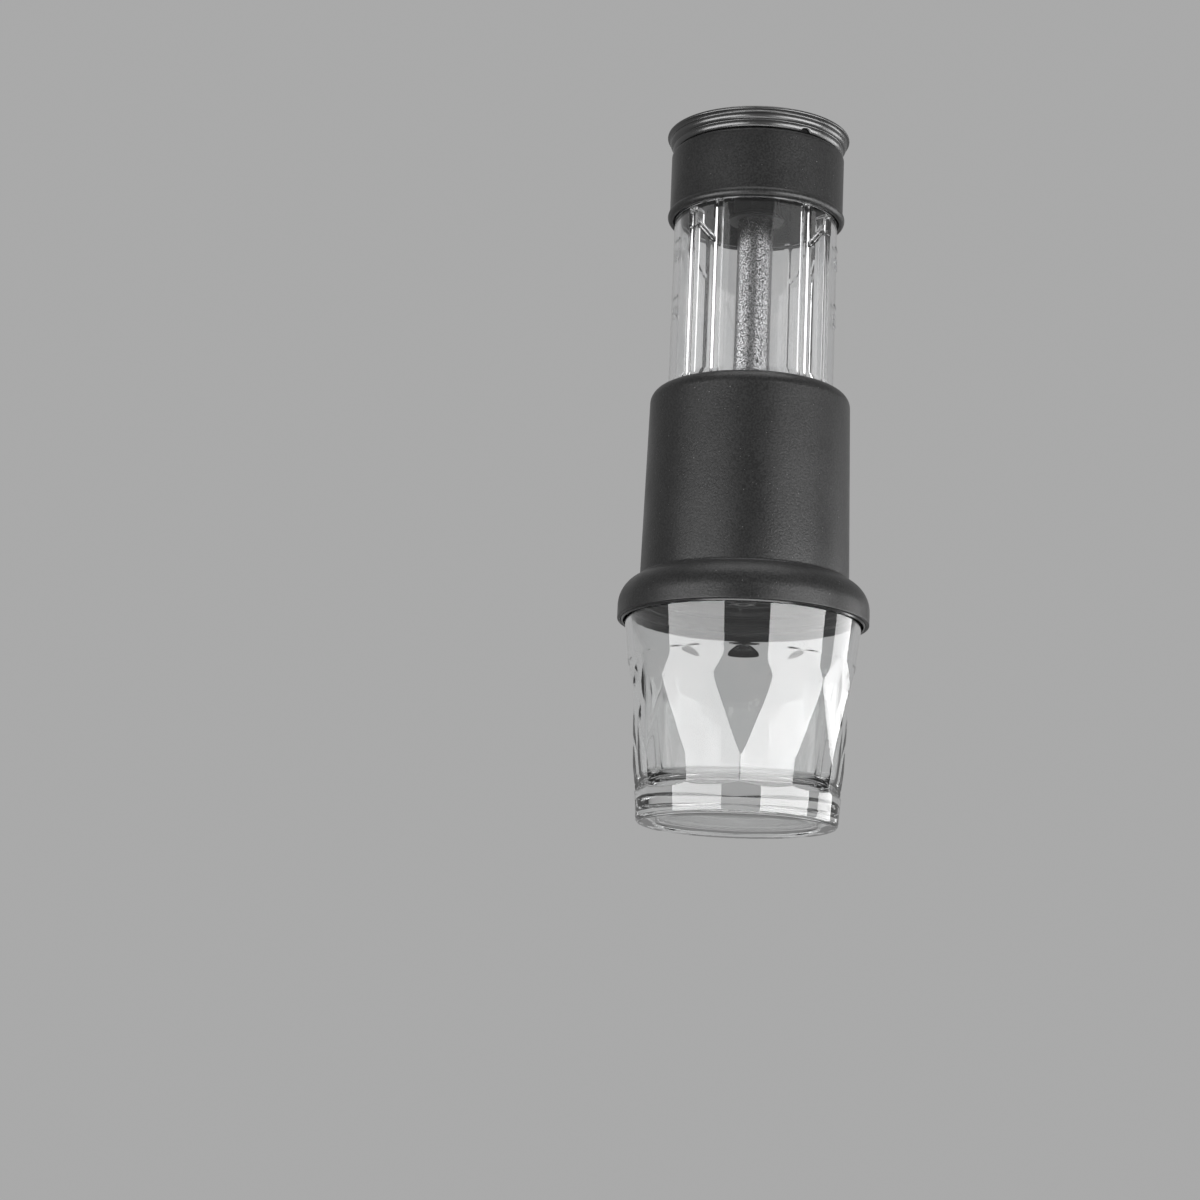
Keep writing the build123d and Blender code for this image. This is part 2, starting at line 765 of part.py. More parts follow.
# ---------------------------------------------------------------- press and lid
def press_collar():
    """Sleeve that slides over the tank, with a rounded bead at its lip."""
    bead_radius = collar_radius + bead_out
    bead_mid = collar_lip_z + bead_height / 2
    foot = collar_radius - bead_foot
    return turned(
        Line((collar_bore, collar_lip_z), (foot, collar_lip_z)),
        ThreePointArc(
            (foot, collar_lip_z), (bead_radius, bead_mid), (collar_radius, collar_lip_z + bead_height)
        ),
        Line((collar_radius, collar_lip_z + bead_height), (collar_radius, collar_top_z - collar_top_round)),
        TangentArc(
            (collar_radius, collar_top_z - collar_top_round),
            (collar_radius - collar_top_round, collar_top_z),
            tangent=(0, 1),
        ),
        Polyline(
            (collar_radius - collar_top_round, collar_top_z),
            (hub_ring_radius - collar_top_lip, collar_top_z),
            (hub_ring_radius - collar_top_lip, lid_seal_z),
            (collar_bore, lid_seal_z),
            (collar_bore, collar_lip_z),
        ),
    )


def press_hub():
    """Hub on the rod, four arms and the ring that fills the top of the collar."""
    hub = ring(0, hub_radius, tank_top_z, hub_top_z)
    hub += ring(0, hub_disc_radius, tank_top_z, tank_top_z + hub_disc_height)
    hub += ring(hub_ring_bore, hub_ring_radius, arm_z, lid_seal_z)
    reach = hub_ring_bore + hub_ring_width / 2 - hub_radius / 2
    for place in PolarLocations(hub_radius / 2 + reach / 2, arm_count, arm_turn):
        hub += place * Pos(0, 0, arm_z) * extrude(Rectangle(reach, arm_width), arm_height)
    hub -= ring(0, rod_radius + seat_gap, tank_top_z, rod_top_z)
    hub -= ring(0, hub_screw_radius + screw_gap, rod_top_z, hub_top_z)
    return hub - ring(0, hub_screw_head + 2 * screw_gap, hub_top_z - hub_screw_recess, hub_top_z)


def hub_screw():
    """Screw down through the hub into the insert of the rod, with a socket in its head."""
    seat = hub_top_z - hub_screw_recess
    screw = ring(0, hub_screw_head, seat, seat + hub_screw_head_height)
    screw += ring(0, hub_screw_radius, seat - hub_screw_length, seat)
    socket = extrude(RegularPolygon(hub_socket_radius, 6), hub_screw_head_height)
    return screw - Pos(0, 0, seat + hub_socket_floor) * socket


def lid_seal():
    """Flat seal between the ring of the hub and the lid."""
    inner = hub_ring_bore + seat_gap
    return ring(inner, inner + lid_seal_width, lid_seal_z, collar_top_z)


def press_lid():
    """Screw-in lid whose side flares out in two flutes to a thin rim."""
    under = lid_top_z - pad_height - lid_roof
    skirt_bore = lid_skirt_radius - lid_skirt_wall
    step = lid_seam_radius - lid_seam_depth
    rim_foot = (lid_rim_radius - seat_gap, lid_top_z - lid_rim_height)
    rim_out = (lid_rim_radius, lid_top_z - lid_rim_round)
    rim_top = (lid_rim_radius - lid_rim_round, lid_top_z)

    def side(share):
        return (lid_seam_radius + share[0] * lid_flare, lid_foot_z + share[1] * lid_height)

    lid = turned(
        Polyline(
            (skirt_bore, collar_top_z - lid_skirt),
            (lid_skirt_radius, collar_top_z - lid_skirt),
            (lid_skirt_radius, collar_top_z),
            (step, collar_top_z),
            (step, lid_foot_z),
            side((0, 0)),
        ),
        ThreePointArc(side((0, 0)), side(lower_flute[0]), side(lower_flute[1])),
        ThreePointArc(side(lower_flute[1]), side(upper_flute[0]), side(upper_flute[1])),
        ThreePointArc(side(upper_flute[1]), side(rim_cove), rim_foot),
        ThreePointArc(rim_foot, rim_out, rim_top),
        Polyline(
            rim_top,
            (pad_radius + seat_gap, lid_top_z),
            (pad_radius + seat_gap, lid_top_z - pad_height),
            (0, lid_top_z - pad_height),
            (0, under),
            (skirt_bore, under),
            (skirt_bore, collar_top_z - lid_skirt),
        ),
    )
    notch = Rot(0, 90, 0) * Cylinder(lid_notch_radius, lid_notch_depth)
    notch_place = Pos(lid_rim_radius - lid_notch_depth, 0, lid_foot_z)
    return lid - Rot(0, 0, lid_notch_angle - 90) * notch_place * notch


def lid_pad():
    """Slightly domed palm pad let into the lid."""
    low = lid_top_z - pad_height
    return turned(
        Line((0, low), (pad_radius, low)),
        Line((pad_radius, low), (pad_radius, lid_top_z - pad_dome)),
        TangentArc((0, lid_top_z), (pad_radius, lid_top_z - pad_dome), tangent=(1, 0)),
        Line((0, lid_top_z), (0, low)),
    )


pieces = {
    "glass_cup": glass_cup,
    "body_shell": body_shell,
    "inner_ring": inner_ring,
    "cup_seat": cup_seat,
    "filter_holder": filter_holder,
    "outlet_spout": outlet_spout,
    "filter_basket": filter_basket,
    "brew_gasket": brew_gasket,
    "shower_screen": shower_screen,
    "pump_base": pump_base,
    "base_screws": base_screws,
    "cylinder_seal": cylinder_seal,
    "pump_cylinder": pump_cylinder,
    "outlet_disc": outlet_disc,
    "valve_cage": valve_cage,
    "outlet_spring": outlet_spring,
    "return_spring": return_spring,
    "piston": piston,
    "piston_seal": piston_seal,
    "ring_valve": ring_valve,
    "valve_washer": valve_washer,
    "piston_rod": piston_rod,
    "rod_insert": rod_insert,
    "guide_bush": guide_bush,
    "rod_wiper": rod_wiper,
    "water_tank": water_tank,
    "tank_seal": tank_seal,
    "press_collar": press_collar,
    "press_hub": press_hub,
    "hub_screw": hub_screw,
    "lid_seal": lid_seal,
    "press_lid": press_lid,
    "lid_pad": lid_pad,
}

os.makedirs("parts", exist_ok=True)
for name, make in pieces.items():
    export(name, make())
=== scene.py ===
import json

import bmesh
import bpy
import numpy as np
from mathutils import Matrix, Vector


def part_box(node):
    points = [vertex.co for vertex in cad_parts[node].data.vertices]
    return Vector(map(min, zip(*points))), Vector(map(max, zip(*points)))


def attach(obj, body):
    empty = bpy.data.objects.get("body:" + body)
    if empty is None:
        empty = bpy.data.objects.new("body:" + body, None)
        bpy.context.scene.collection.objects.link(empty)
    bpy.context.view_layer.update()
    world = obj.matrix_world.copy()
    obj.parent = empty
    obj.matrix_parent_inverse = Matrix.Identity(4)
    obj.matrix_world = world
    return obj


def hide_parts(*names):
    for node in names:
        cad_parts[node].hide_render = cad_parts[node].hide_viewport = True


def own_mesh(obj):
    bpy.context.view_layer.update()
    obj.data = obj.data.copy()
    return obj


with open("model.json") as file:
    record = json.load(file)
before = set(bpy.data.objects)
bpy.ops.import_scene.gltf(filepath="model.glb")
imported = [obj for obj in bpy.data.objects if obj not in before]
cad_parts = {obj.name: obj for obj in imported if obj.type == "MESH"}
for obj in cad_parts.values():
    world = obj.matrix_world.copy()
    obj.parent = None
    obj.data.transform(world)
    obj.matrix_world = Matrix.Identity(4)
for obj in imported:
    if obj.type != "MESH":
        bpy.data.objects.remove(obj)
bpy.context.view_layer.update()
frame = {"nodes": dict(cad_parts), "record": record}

MM = 0.001
TURN = 2 * np.pi
MERGE = 1e-6                 # points nearer than this, in metres, are one point


# ------------------------------------------------------------------ the frame
def low(node):
    """Height of a CAD node's underside, in mm."""
    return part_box(node)[0].z / MM


def high(node):
    """Height of a CAD node's top, in mm."""
    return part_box(node)[1].z / MM


def reach(node):
    """Largest radius of a round CAD node about the upright axis, in mm."""
    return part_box(node)[1].x / MM


# ------------------------------------------------------------------ mesh tools
def mesh_object(name, points, faces, smooth=True):
    """A mesh object from an array of points in mm and a list or array of faces."""
    mesh = bpy.data.meshes.new(name)
    faces = faces.tolist() if isinstance(faces, np.ndarray) else faces
    mesh.from_pydata((np.asarray(points, float) * MM).tolist(), [], faces)
    mesh.polygons.foreach_set("use_smooth", np.full(len(mesh.polygons), smooth))
    mesh.update()
    obj = bpy.data.objects.new(name, mesh)
    bpy.context.scene.collection.objects.link(obj)
    return obj


def tidy(obj):
    """Merges coincident points, drops empty faces and turns every face outwards."""
    work = bmesh.new()
    work.from_mesh(obj.data)
    bmesh.ops.remove_doubles(work, verts=work.verts, dist=MERGE)
    bmesh.ops.dissolve_degenerate(work, edges=work.edges, dist=MERGE / 4)
    bmesh.ops.recalc_face_normals(work, faces=work.faces)
    work.to_mesh(obj.data)
    work.free()
    obj.data.update()
    return obj


def grid_faces(rows, columns, wrap_rows):
    """Quads of a grid of rows by columns. Its columns close on themselves, and its rows may."""
    i, j = np.meshgrid(np.arange(rows if wrap_rows else rows - 1), np.arange(columns), indexing="ij")
    k, m = (i + 1) % rows, (j + 1) % columns
    corners = [i * columns + j, i * columns + m, k * columns + m, k * columns + j]
    return np.stack(corners, -1).reshape(-1, 4)


def surface(name, points, wrap_rows=False):
    """A grid of points (rows, columns, 3) in mm as one closed, outward-facing mesh."""
    rows, columns = points.shape[:2]
    return tidy(mesh_object(name, points.reshape(-1, 3), grid_faces(rows, columns, wrap_rows)))


def round_points(radius, angle, height):
    """Points (radius cos angle, radius sin angle, height) of arrays whose shapes fit together."""
    x, y = radius * np.cos(angle), radius * np.sin(angle)
    return np.stack(np.broadcast_arrays(x, y, height), -1)


def ring_rows(outline, angles):
    """Rows of points: each (radius, height) of an outline goes round at the given angles."""
    radius, height = np.asarray(outline, float).T[:, :, None]
    return round_points(radius, angles, height)


def even_turn(columns):
    """Angles of that many even steps round the axis."""
    return np.arange(columns) * TURN / columns


def lathe(name, outline, columns, closed=True):
    """Surface of revolution of an outline (radius, height). An open one starts and ends on the axis."""
    return surface(name, ring_rows(outline, even_turn(columns)), wrap_rows=closed)


def rounded(corners, closed=True, steps=7):
    """Outline through corners (radius, height, round): each corner is an arc of that round,
    its centre at round / sin(half the corner angle) along the bisector, with a holding point
    just outside each end of the arc so that flat runs shade flat."""
    corners = np.asarray(corners, float)
    count = len(corners)
    outline = []
    for index in range(count):
        here, size = corners[index, :2], corners[index, 2]
        if not closed and index in (0, count - 1):
            outline.append(here)
            continue
        before, after = corners[index - 1, :2], corners[(index + 1) % count, :2]
        back, ahead = before - here, after - here
        back_run, ahead_run = np.linalg.norm(back), np.linalg.norm(ahead)
        back, ahead = back / back_run, ahead / ahead_run
        half = np.arccos(np.clip(back @ ahead, -1, 1)) / 2
        cut = min(size / np.tan(half), 0.49 * back_run, 0.49 * ahead_run)
        size = cut * np.tan(half)
        centre = here + (back + ahead) / np.linalg.norm(back + ahead) * size / np.sin(half)
        start, end = here + back * cut - centre, here + ahead * cut - centre
        share = np.linspace(0, 1, steps)[:, None]
        sweep = np.pi - 2 * half
        arc = (np.sin((1 - share) * sweep) * start + np.sin(share * sweep) * end) / np.sin(sweep)
        hold = min(0.25, 0.2 * cut + 0.05)
        outline.append(here + back * min(cut + hold, 0.499 * back_run))
        outline.extend(centre + arc)
        outline.append(here + ahead * min(cut + hold, 0.499 * ahead_run))
    return np.array(outline)


def arc_points(start, end, tangent, steps):
    """Arc from start to end that leaves start along tangent."""
    start, end, tangent = (np.asarray(v, float) for v in (start, end, tangent))
    tangent = tangent / np.linalg.norm(tangent)
    normal = np.array([-tangent[1], tangent[0]])
    chord = end - start
    radius = chord @ chord / (2 * (chord @ normal))
    centre = start + normal * radius
    first = np.arctan2(*(start - centre)[::-1])
    last = np.arctan2(*(end - centre)[::-1])
    turn = (last - first + np.pi) % TURN - np.pi
    angle = first + turn * np.linspace(0, 1, steps)
    return centre + abs(radius) * np.stack([np.cos(angle), np.sin(angle)], 1)


def three_point_arc(a, b, c, steps):
    """Arc through three points: the circle's centre solves the two perpendicular bisectors."""
    a, b, c = (np.asarray(p, float) for p in (a, b, c))
    matrix = 2 * np.array([b - a, c - a])
    centre = np.linalg.solve(matrix, np.array([b @ b - a @ a, c @ c - a @ a]))
    radius = np.linalg.norm(a - centre)
    first, middle, last = (np.arctan2(*(p - centre)[::-1]) for p in (a, b, c))
    turn = (last - first) % TURN
    if (middle - first) % TURN > turn:
        turn -= TURN
    angle = first + turn * np.linspace(0, 1, steps)
    return centre + radius * np.stack([np.cos(angle), np.sin(angle)], 1)


def bar(length, width, height, round_size):
    """Closed bar along X, level with the origin: every section is a superellipse of power 5 in Y
    and Z, and the sections shrink to a point at both ends. Returns points and faces in mm."""
    along = np.array([0.0, round_size * 0.4, round_size, length / 2, length - round_size,
                      length - round_size * 0.4, length])
    shrink = np.array([0.0, 0.85, 1.0, 1.0, 1.0, 0.85, 0.0])[:, None]
    angle = np.linspace(0, TURN, 36, endpoint=False)
    lobe = (np.abs(np.cos(angle)) ** 5 + np.abs(np.sin(angle)) ** 5) ** -0.2
    y, z = width / 2 * lobe * np.cos(angle), height / 2 * lobe * np.sin(angle)
    points = np.stack(np.broadcast_arrays(along[:, None], shrink * y, shrink * z), -1)
    return points.reshape(-1, 3), grid_faces(len(along), len(angle), False)


def bars_round(count, length, width, height, round_size, inner, middle, shift):
    """Bars like the spokes of a wheel, from the inner radius outwards at one height, the first
    of them turned by a share of the pitch."""
    points, faces = bar(length, width, height, round_size)
    x, y, z = (points + np.array([inner, 0, middle])).T
    spokes = []
    for number in range(count):
        c, s = np.cos((number + shift) * TURN / count), np.sin((number + shift) * TURN / count)
        spokes.append((np.stack([c * x - s * y, s * x + c * y, z], -1), faces))
    return spokes


def closed_ring(outline, columns):
    """Points and faces of a closed outline that goes round the axis."""
    points = ring_rows(outline, even_turn(columns)).reshape(-1, 3)
    return points, grid_faces(len(outline), columns, True)


def joined(name, parts):
    """One mesh object from several (points, faces) pairs."""
    offset, points, faces = 0, [], []
    for part_points, part_faces in parts:
        points.append(part_points)
        faces.append(part_faces + offset)
        offset += len(part_points)
    return tidy(mesh_object(name, np.concatenate(points), np.concatenate(faces)))


# ------------------------------------------------------------------ shader node groups
def group(name, inputs, outputs):
    """Empty shader node group with named sockets; inputs are (name, type, default)."""
    tree = bpy.data.node_groups.new(name, "ShaderNodeTree")
    for label, kind, default in inputs:
        socket = tree.interface.new_socket(label, in_out="INPUT", socket_type=kind)
        if default is not None:
            socket.default_value = default
    for label, kind in outputs:
        tree.interface.new_socket(label, in_out="OUTPUT", socket_type=kind)
    return tree, tree.nodes.new("NodeGroupInput").outputs, tree.nodes.new("NodeGroupOutput").inputs


def node(tree, kind, settings=None, **inputs):
    """Adds a node, sets its properties, then its inputs to values or links them to sockets. An
    input is given by its name with _ for a space, or as i0, i1 and so on by its number."""
    made = tree.nodes.new(kind)
    for key, value in (settings or {}).items():
        setattr(made, key, value)
    for key, value in inputs.items():
        by_number = key[0] == "i" and key[1:].isdigit()
        socket = made.inputs[int(key[1:]) if by_number else key.replace("_", " ")]
        if isinstance(value, bpy.types.NodeSocket):
            tree.links.new(value, socket)
        else:
            socket.default_value = value
    return made


def maths(tree, operation, a, b):
    """One Math node; returns its output socket."""
    return node(tree, "ShaderNodeMath", {"operation": operation}, i0=a, i1=b).outputs[0]


def ramp(tree, value, start, end, low_value=0.0, high_value=1.0):
    """Smooth step of a value from start to end, as a Map Range node."""
    return node(tree, "ShaderNodeMapRange", {"interpolation_type": "SMOOTHSTEP", "clamp": True},
                Value=value, From_Min=start, From_Max=end, To_Min=low_value,
                To_Max=high_value).outputs[0]


def mixed(tree, factor, first, second):
    """Colour between two colours or sockets."""
    return node(tree, "ShaderNodeMix", {"data_type": "RGBA"}, i0=factor, i6=first, i7=second).outputs[2]


def bump(tree, height, strength, distance):
    """Bump node on a height; returns its normal."""
    return node(tree, "ShaderNodeBump", Height=height, Strength=strength, Distance=distance).outputs[0]


def make_dust_group():
    """Sparse bright specks of two sizes: distance to a scattered point under a small radius,
    kept only where the point's own random number is high."""
    tree, enter, leave = group(
        "Dust", [("Vector", "NodeSocketVector", None), ("Scale", "NodeSocketFloat", 260.0),
                 ("Amount", "NodeSocketFloat", 0.5)], [("Mask", "NodeSocketFloat")])
    least = maths(tree, "SUBTRACT", 1.0, maths(tree, "MULTIPLY", enter["Amount"], 0.2))
    masks = []
    for factor, size in ((1.0, 0.055), (2.7, 0.09)):
        scale = maths(tree, "MULTIPLY", enter["Scale"], factor)
        cell = node(tree, "ShaderNodeTexVoronoi", Vector=enter["Vector"], Scale=scale).outputs
        chance = node(tree, "ShaderNodeSeparateColor", Color=cell["Color"]).outputs[0]
        near = ramp(tree, cell["Distance"], size, size * 0.45)
        masks.append(maths(tree, "MULTIPLY", near, maths(tree, "GREATER_THAN", chance, least)))
    tree.links.new(maths(tree, "MAXIMUM", *masks), leave["Mask"])
    return tree


def make_grain_group():
    """Fine moulded grain: two octaves of noise as a height, and a slow cloud for smudges."""
    tree, enter, leave = group(
        "Grain", [("Vector", "NodeSocketVector", None), ("Scale", "NodeSocketFloat", 2200.0),
                  ("Cloud Scale", "NodeSocketFloat", 45.0)],
        [("Height", "NodeSocketFloat"), ("Cloud", "NodeSocketFloat")])
    fine = node(tree, "ShaderNodeTexNoise", Vector=enter["Vector"], Scale=enter["Scale"],
                Detail=2.0, Roughness=0.55)
    cloud = node(tree, "ShaderNodeTexNoise", Vector=enter["Vector"], Scale=enter["Cloud Scale"],
                 Detail=3.0, Roughness=0.6)
    tree.links.new(fine.outputs[0], leave["Height"])
    tree.links.new(ramp(tree, cloud.outputs[0], 0.35, 0.68), leave["Cloud"])
    return tree


def make_blast_group():
    """Bead-blasted metal: overlapping round dents as a height, and a painted sparkle that varies by dent: a
    mask that paints bright and dark grains into the colour and also sets the roughness.
    """
    tree, enter, leave = group(
        "Blasted", [("Vector", "NodeSocketVector", None), ("Scale", "NodeSocketFloat", 2600.0)],
        [("Height", "NodeSocketFloat"), ("Painted Sparkle", "NodeSocketFloat")])
    dents = node(tree, "ShaderNodeTexVoronoi", {"feature": "SMOOTH_F1"}, Vector=enter["Vector"],
                 Scale=enter["Scale"], Smoothness=0.4)
    coarse = node(tree, "ShaderNodeTexNoise", Vector=enter["Vector"],
                  Scale=maths(tree, "MULTIPLY", enter["Scale"], 0.62), Detail=2.0).outputs[0]
    both = maths(tree, "ADD", dents.outputs["Distance"], maths(tree, "MULTIPLY", coarse, 0.8))
    tree.links.new(both, leave["Height"])
    tree.links.new(ramp(tree, coarse, 0.38, 0.62), leave["Painted Sparkle"])
    return tree


DUST = make_dust_group()
GRAIN = make_grain_group()
BLASTED = make_blast_group()


# ------------------------------------------------------------------ materials
def use(tree, shared, **inputs):
    """Places a shared group in a material with its own values; returns its outputs."""
    return node(tree, "ShaderNodeGroup", {"node_tree": shared}, **inputs).outputs


def new_material(name, settings):
    """Material with one Principled BSDF; settings go straight onto its sockets.
    Returns the material, its tree, the shader and the object coordinates."""
    material = bpy.data.materials.new(name)
    material.use_nodes = True
    tree = material.node_tree
    shader = tree.nodes["Principled BSDF"]
    for key, value in settings.items():
        shader.inputs[key].default_value = value
    coordinates = tree.nodes.new("ShaderNodeTexCoord").outputs["Object"]
    return material, tree, shader, coordinates


def feed(tree, shader, colour, roughness, normal):
    """Links a colour, a roughness and a normal to the shader."""
    for label, socket in (("Base Color", colour), ("Roughness", roughness), ("Normal", normal)):
        tree.links.new(socket, shader.inputs[label])


def dulled(colour, share):
    """The same colour at a share of its brightness."""
    return tuple(c * share for c in colour[:3]) + (1,)


def soft_touch(name, dark, light, roughness, dust, grain=2400.0):
    """Matte rubbery paint: fine grain in its tone and surface, slow smudges that polish it, and
    pale specks of dust."""
    material, tree, shader, place = new_material(
        name, {"Specular IOR Level": 0.31, "Sheen Weight": 0.04, "Sheen Roughness": 0.4})
    skin = use(tree, GRAIN, Vector=place, Scale=grain, Cloud_Scale=38.0)
    specks = use(tree, DUST, Vector=place, Scale=300.0, Amount=dust)
    fine = ramp(tree, skin["Height"], 0.35, 0.65, 0.0, 0.8)
    smudged = maths(tree, "ADD", fine, maths(tree, "MULTIPLY", skin["Cloud"], 0.2))
    dusty = maths(tree, "MULTIPLY", specks["Mask"], 0.7)
    feed(tree, shader, mixed(tree, dusty, mixed(tree, smudged, dark, light), (0.5, 0.5, 0.5, 1)),
         ramp(tree, skin["Cloud"], 0.0, 1.0, roughness + 0.05, roughness - 0.04),
         bump(tree, skin["Height"], 0.8, 0.00008))
    return material


def polished(name, colour, roughness, shine=0.5):
    """Polished black moulding: faint waviness, smudges in the gloss and a little dust."""
    material, tree, shader, place = new_material(name, {"Specular IOR Level": shine, "IOR": 1.52})
    skin = use(tree, GRAIN, Vector=place, Scale=320.0, Cloud_Scale=60.0)
    specks = use(tree, DUST, Vector=place, Scale=240.0, Amount=0.15)
    dusty = maths(tree, "MULTIPLY", specks["Mask"], 0.4)
    feed(tree, shader, mixed(tree, dusty, colour, (0.4, 0.4, 0.4, 1)),
         ramp(tree, skin["Cloud"], 0.0, 1.0, roughness, roughness + 0.08),
         bump(tree, skin["Height"], 0.08, 0.00005))
    return material


def blasted_metal(name, colour, roughness, scale, strength):
    """Bead-blasted metal: dented surface whose grains catch the light one by one. The colour is painted down
    to a sixth of its brightness between the grains, a painted sparkle, and the bright grains are smoother.
    """
    material, tree, shader, place = new_material(name, {"Metallic": 1.0})
    skin = use(tree, BLASTED, Vector=place, Scale=scale)
    # painted sparkle: the base colour falls to 16% of its brightness away from the bright grains
    feed(tree, shader, mixed(tree, skin["Painted Sparkle"], dulled(colour, 0.16), colour),
         ramp(tree, skin["Painted Sparkle"], 0.0, 1.0, roughness + 0.08, roughness - 0.06),
         bump(tree, skin["Height"], strength, 0.00006))
    return material


def moulded(name, colour, roughness):
    """Plain moulded plastic or rubber with fine grain and slight tone changes."""
    material, tree, shader, place = new_material(name, {"Specular IOR Level": 0.4})
    skin = use(tree, GRAIN, Vector=place, Scale=1500.0, Cloud_Scale=80.0)
    feed(tree, shader, mixed(tree, skin["Cloud"], dulled(colour, 0.86), colour),
         ramp(tree, skin["Cloud"], 0.0, 1.0, roughness, roughness + 0.1),
         bump(tree, skin["Height"], 0.25, 0.00003))
    return material


def clear(name, tint, ior, wave_scale, wave, haze):
    """Clear glass or plastic: a slow waviness from the mould and faint smudges in the gloss."""
    material, tree, shader, place = new_material(
        name, {"Transmission Weight": 1.0, "IOR": ior, "Metallic": 0.0})
    skin = use(tree, GRAIN, Vector=place, Scale=wave_scale, Cloud_Scale=90.0)
    feed(tree, shader, mixed(tree, skin["Cloud"], tint, (1, 1, 1, 1)),
         ramp(tree, skin["Cloud"], 0.0, 1.0, 0.0, haze),
         bump(tree, skin["Height"], wave, 0.0001))
    return material


GLASS = clear("clear_glass", (0.975, 0.985, 0.985, 1), ior=1.51, wave_scale=70.0, wave=0.05, haze=0.015)
TANK = clear("clear_tank", (0.955, 0.96, 0.965, 1), ior=1.49, wave_scale=160.0, wave=0.06, haze=0.03)
MATTE = soft_touch("matte_black", (0.004, 0.004, 0.0042, 1), (0.025, 0.025, 0.0253, 1),
                   roughness=0.38, dust=1.4, grain=1700.0)
MATTE_PAD = soft_touch("matte_black_pad", (0.012, 0.012, 0.013, 1), (0.024, 0.024, 0.025, 1),
                       roughness=0.6, dust=0.4)
GLOSS = polished("gloss_black", (0.008, 0.008, 0.009, 1), 0.16)
SATIN_BLACK = polished("satin_black", (0.01, 0.01, 0.0105, 1), 0.27, shine=0.8)
HUB_BLACK = polished("hub_black", (0.006, 0.006, 0.0065, 1), 0.35, shine=0.2)
STEEL = blasted_metal("satin_steel", (0.54, 0.54, 0.545, 1), 0.28, scale=3900.0, strength=0.3)
WIRE = blasted_metal("spring_steel", (0.6, 0.6, 0.62, 1), 0.22, scale=900.0, strength=0.15)
BRASS = blasted_metal("brass", (0.78, 0.6, 0.3, 1), 0.25, scale=700.0, strength=0.1)
RUBBER = moulded("black_rubber", (0.03, 0.03, 0.03, 1), 0.55)
PALE_RUBBER = moulded("pale_rubber", (0.78, 0.78, 0.76, 1), 0.45)
PALE = moulded("pale_plastic", (0.8, 0.79, 0.76, 1), 0.32)
GREY = moulded("grey_plastic", (0.1, 0.1, 0.105, 1), 0.38)
SLOT_MATERIAL = {
    "clear_glass": GLASS, "clear_tank": TANK, "matte_black": MATTE, "gloss_black": GLOSS,
    "satin_steel": STEEL, "spring_steel": WIRE, "black_rubber": RUBBER, "pale_rubber": PALE_RUBBER,
    "pale_plastic": PALE, "grey_plastic": GREY, "brass": BRASS,
}


def finish_piece(obj, material, body, slot, *replaced):
    """Gives a piece its material and body, and hides the CAD nodes that it stands for. The slot argument is
    not used.
    """
    obj.data.materials.clear()
    obj.data.materials.append(material)
    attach(obj, body)
    if replaced:
        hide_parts(*replaced)


# ------------------------------------------------------------------ glass cup
CUP_RIM = 35.0
CUP_HEIGHT = high("glass_cup")
UPPER_TAPER, LOWER_TAPER = np.radians(6.5), np.radians(4.5)
WAIST = 39.5                 # height where the tapers and the facets meet
KITE_FOOT = 17.0             # height of the lowest point of a kite
ARCH_RISE = 7.7              # from the waist to the top of a kite's arch
KITE_BEND = 1.12             # either side of the waist, over which a kite bends
FOOT_RING = 9.5              # top of the round foot
FOOT_ROUND_TOP = 1.4         # where the rounded edge of the foot ends
FACETS = 12
HALF_PITCH = np.pi / FACETS
FACET_TURN = np.radians(-90 - 2.2)
EDGE_ROUND = 0.035
ABSENT = 99                  # distance of a facet at heights where it has ended
RIM_WALL, WAIST_WALL, FOOT_WALL = 2.2, 3.0, 3.8
RIM_ROUND = 0.95
FLOOR_EDGE, FLOOR_MIDDLE = 10.5, 10.9
HOLLOW_RISE, HOLLOW_RADIUS, HOLLOW_EDGE = 0.6, 23.6, 24.4     # shallow hollow under the base


def cone_radius(z):
    """Round outside of the cup: two tapers that meet at the waist."""
    waist = CUP_RIM - (CUP_HEIGHT - WAIST) * np.tan(UPPER_TAPER)
    return waist + (z - WAIST) * np.where(z > WAIST, np.tan(UPPER_TAPER), np.tan(LOWER_TAPER))


def kite_distance(z):
    """Distance of a kite from the axis: a leaning flat below the waist, a steeper one above it,
    and between them a short curve in which the slope grows evenly."""
    flat, foot = cone_radius(WAIST) * np.cos(HALF_PITCH), cone_radius(KITE_FOOT)
    lean = (flat - foot) / (WAIST - KITE_FOOT)
    steeper = (cone_radius(WAIST + ARCH_RISE) - flat) / ARCH_RISE - lean
    above = z - WAIST
    curve = (above + KITE_BEND) ** 2 / (4 * KITE_BEND)
    bent = np.where(np.abs(above) < KITE_BEND, curve, np.clip(above, 0, None))
    return flat + above * lean + steeper * bent


def wedge_distance(z):
    """Distance of a lower flat from the axis; under the foot ring it runs out at 45 degrees."""
    top = cone_radius(WAIST)
    lean = (top - cone_radius(KITE_FOOT) * np.cos(HALF_PITCH)) / (WAIST - KITE_FOOT)
    ledge = top + (FOOT_RING - WAIST) * lean + (FOOT_RING - z)
    return np.where(z < FOOT_RING, ledge, top + (z - WAIST) * lean)


def smallest(*values):
    """Smooth minimum, -k log(sum exp(-v / k)): a fire-polished edge about k wide."""
    stack = np.stack(values)
    floor = stack.min(0)
    return floor - EDGE_ROUND * np.log(np.exp(-(stack - floor) / EDGE_ROUND).sum(0))


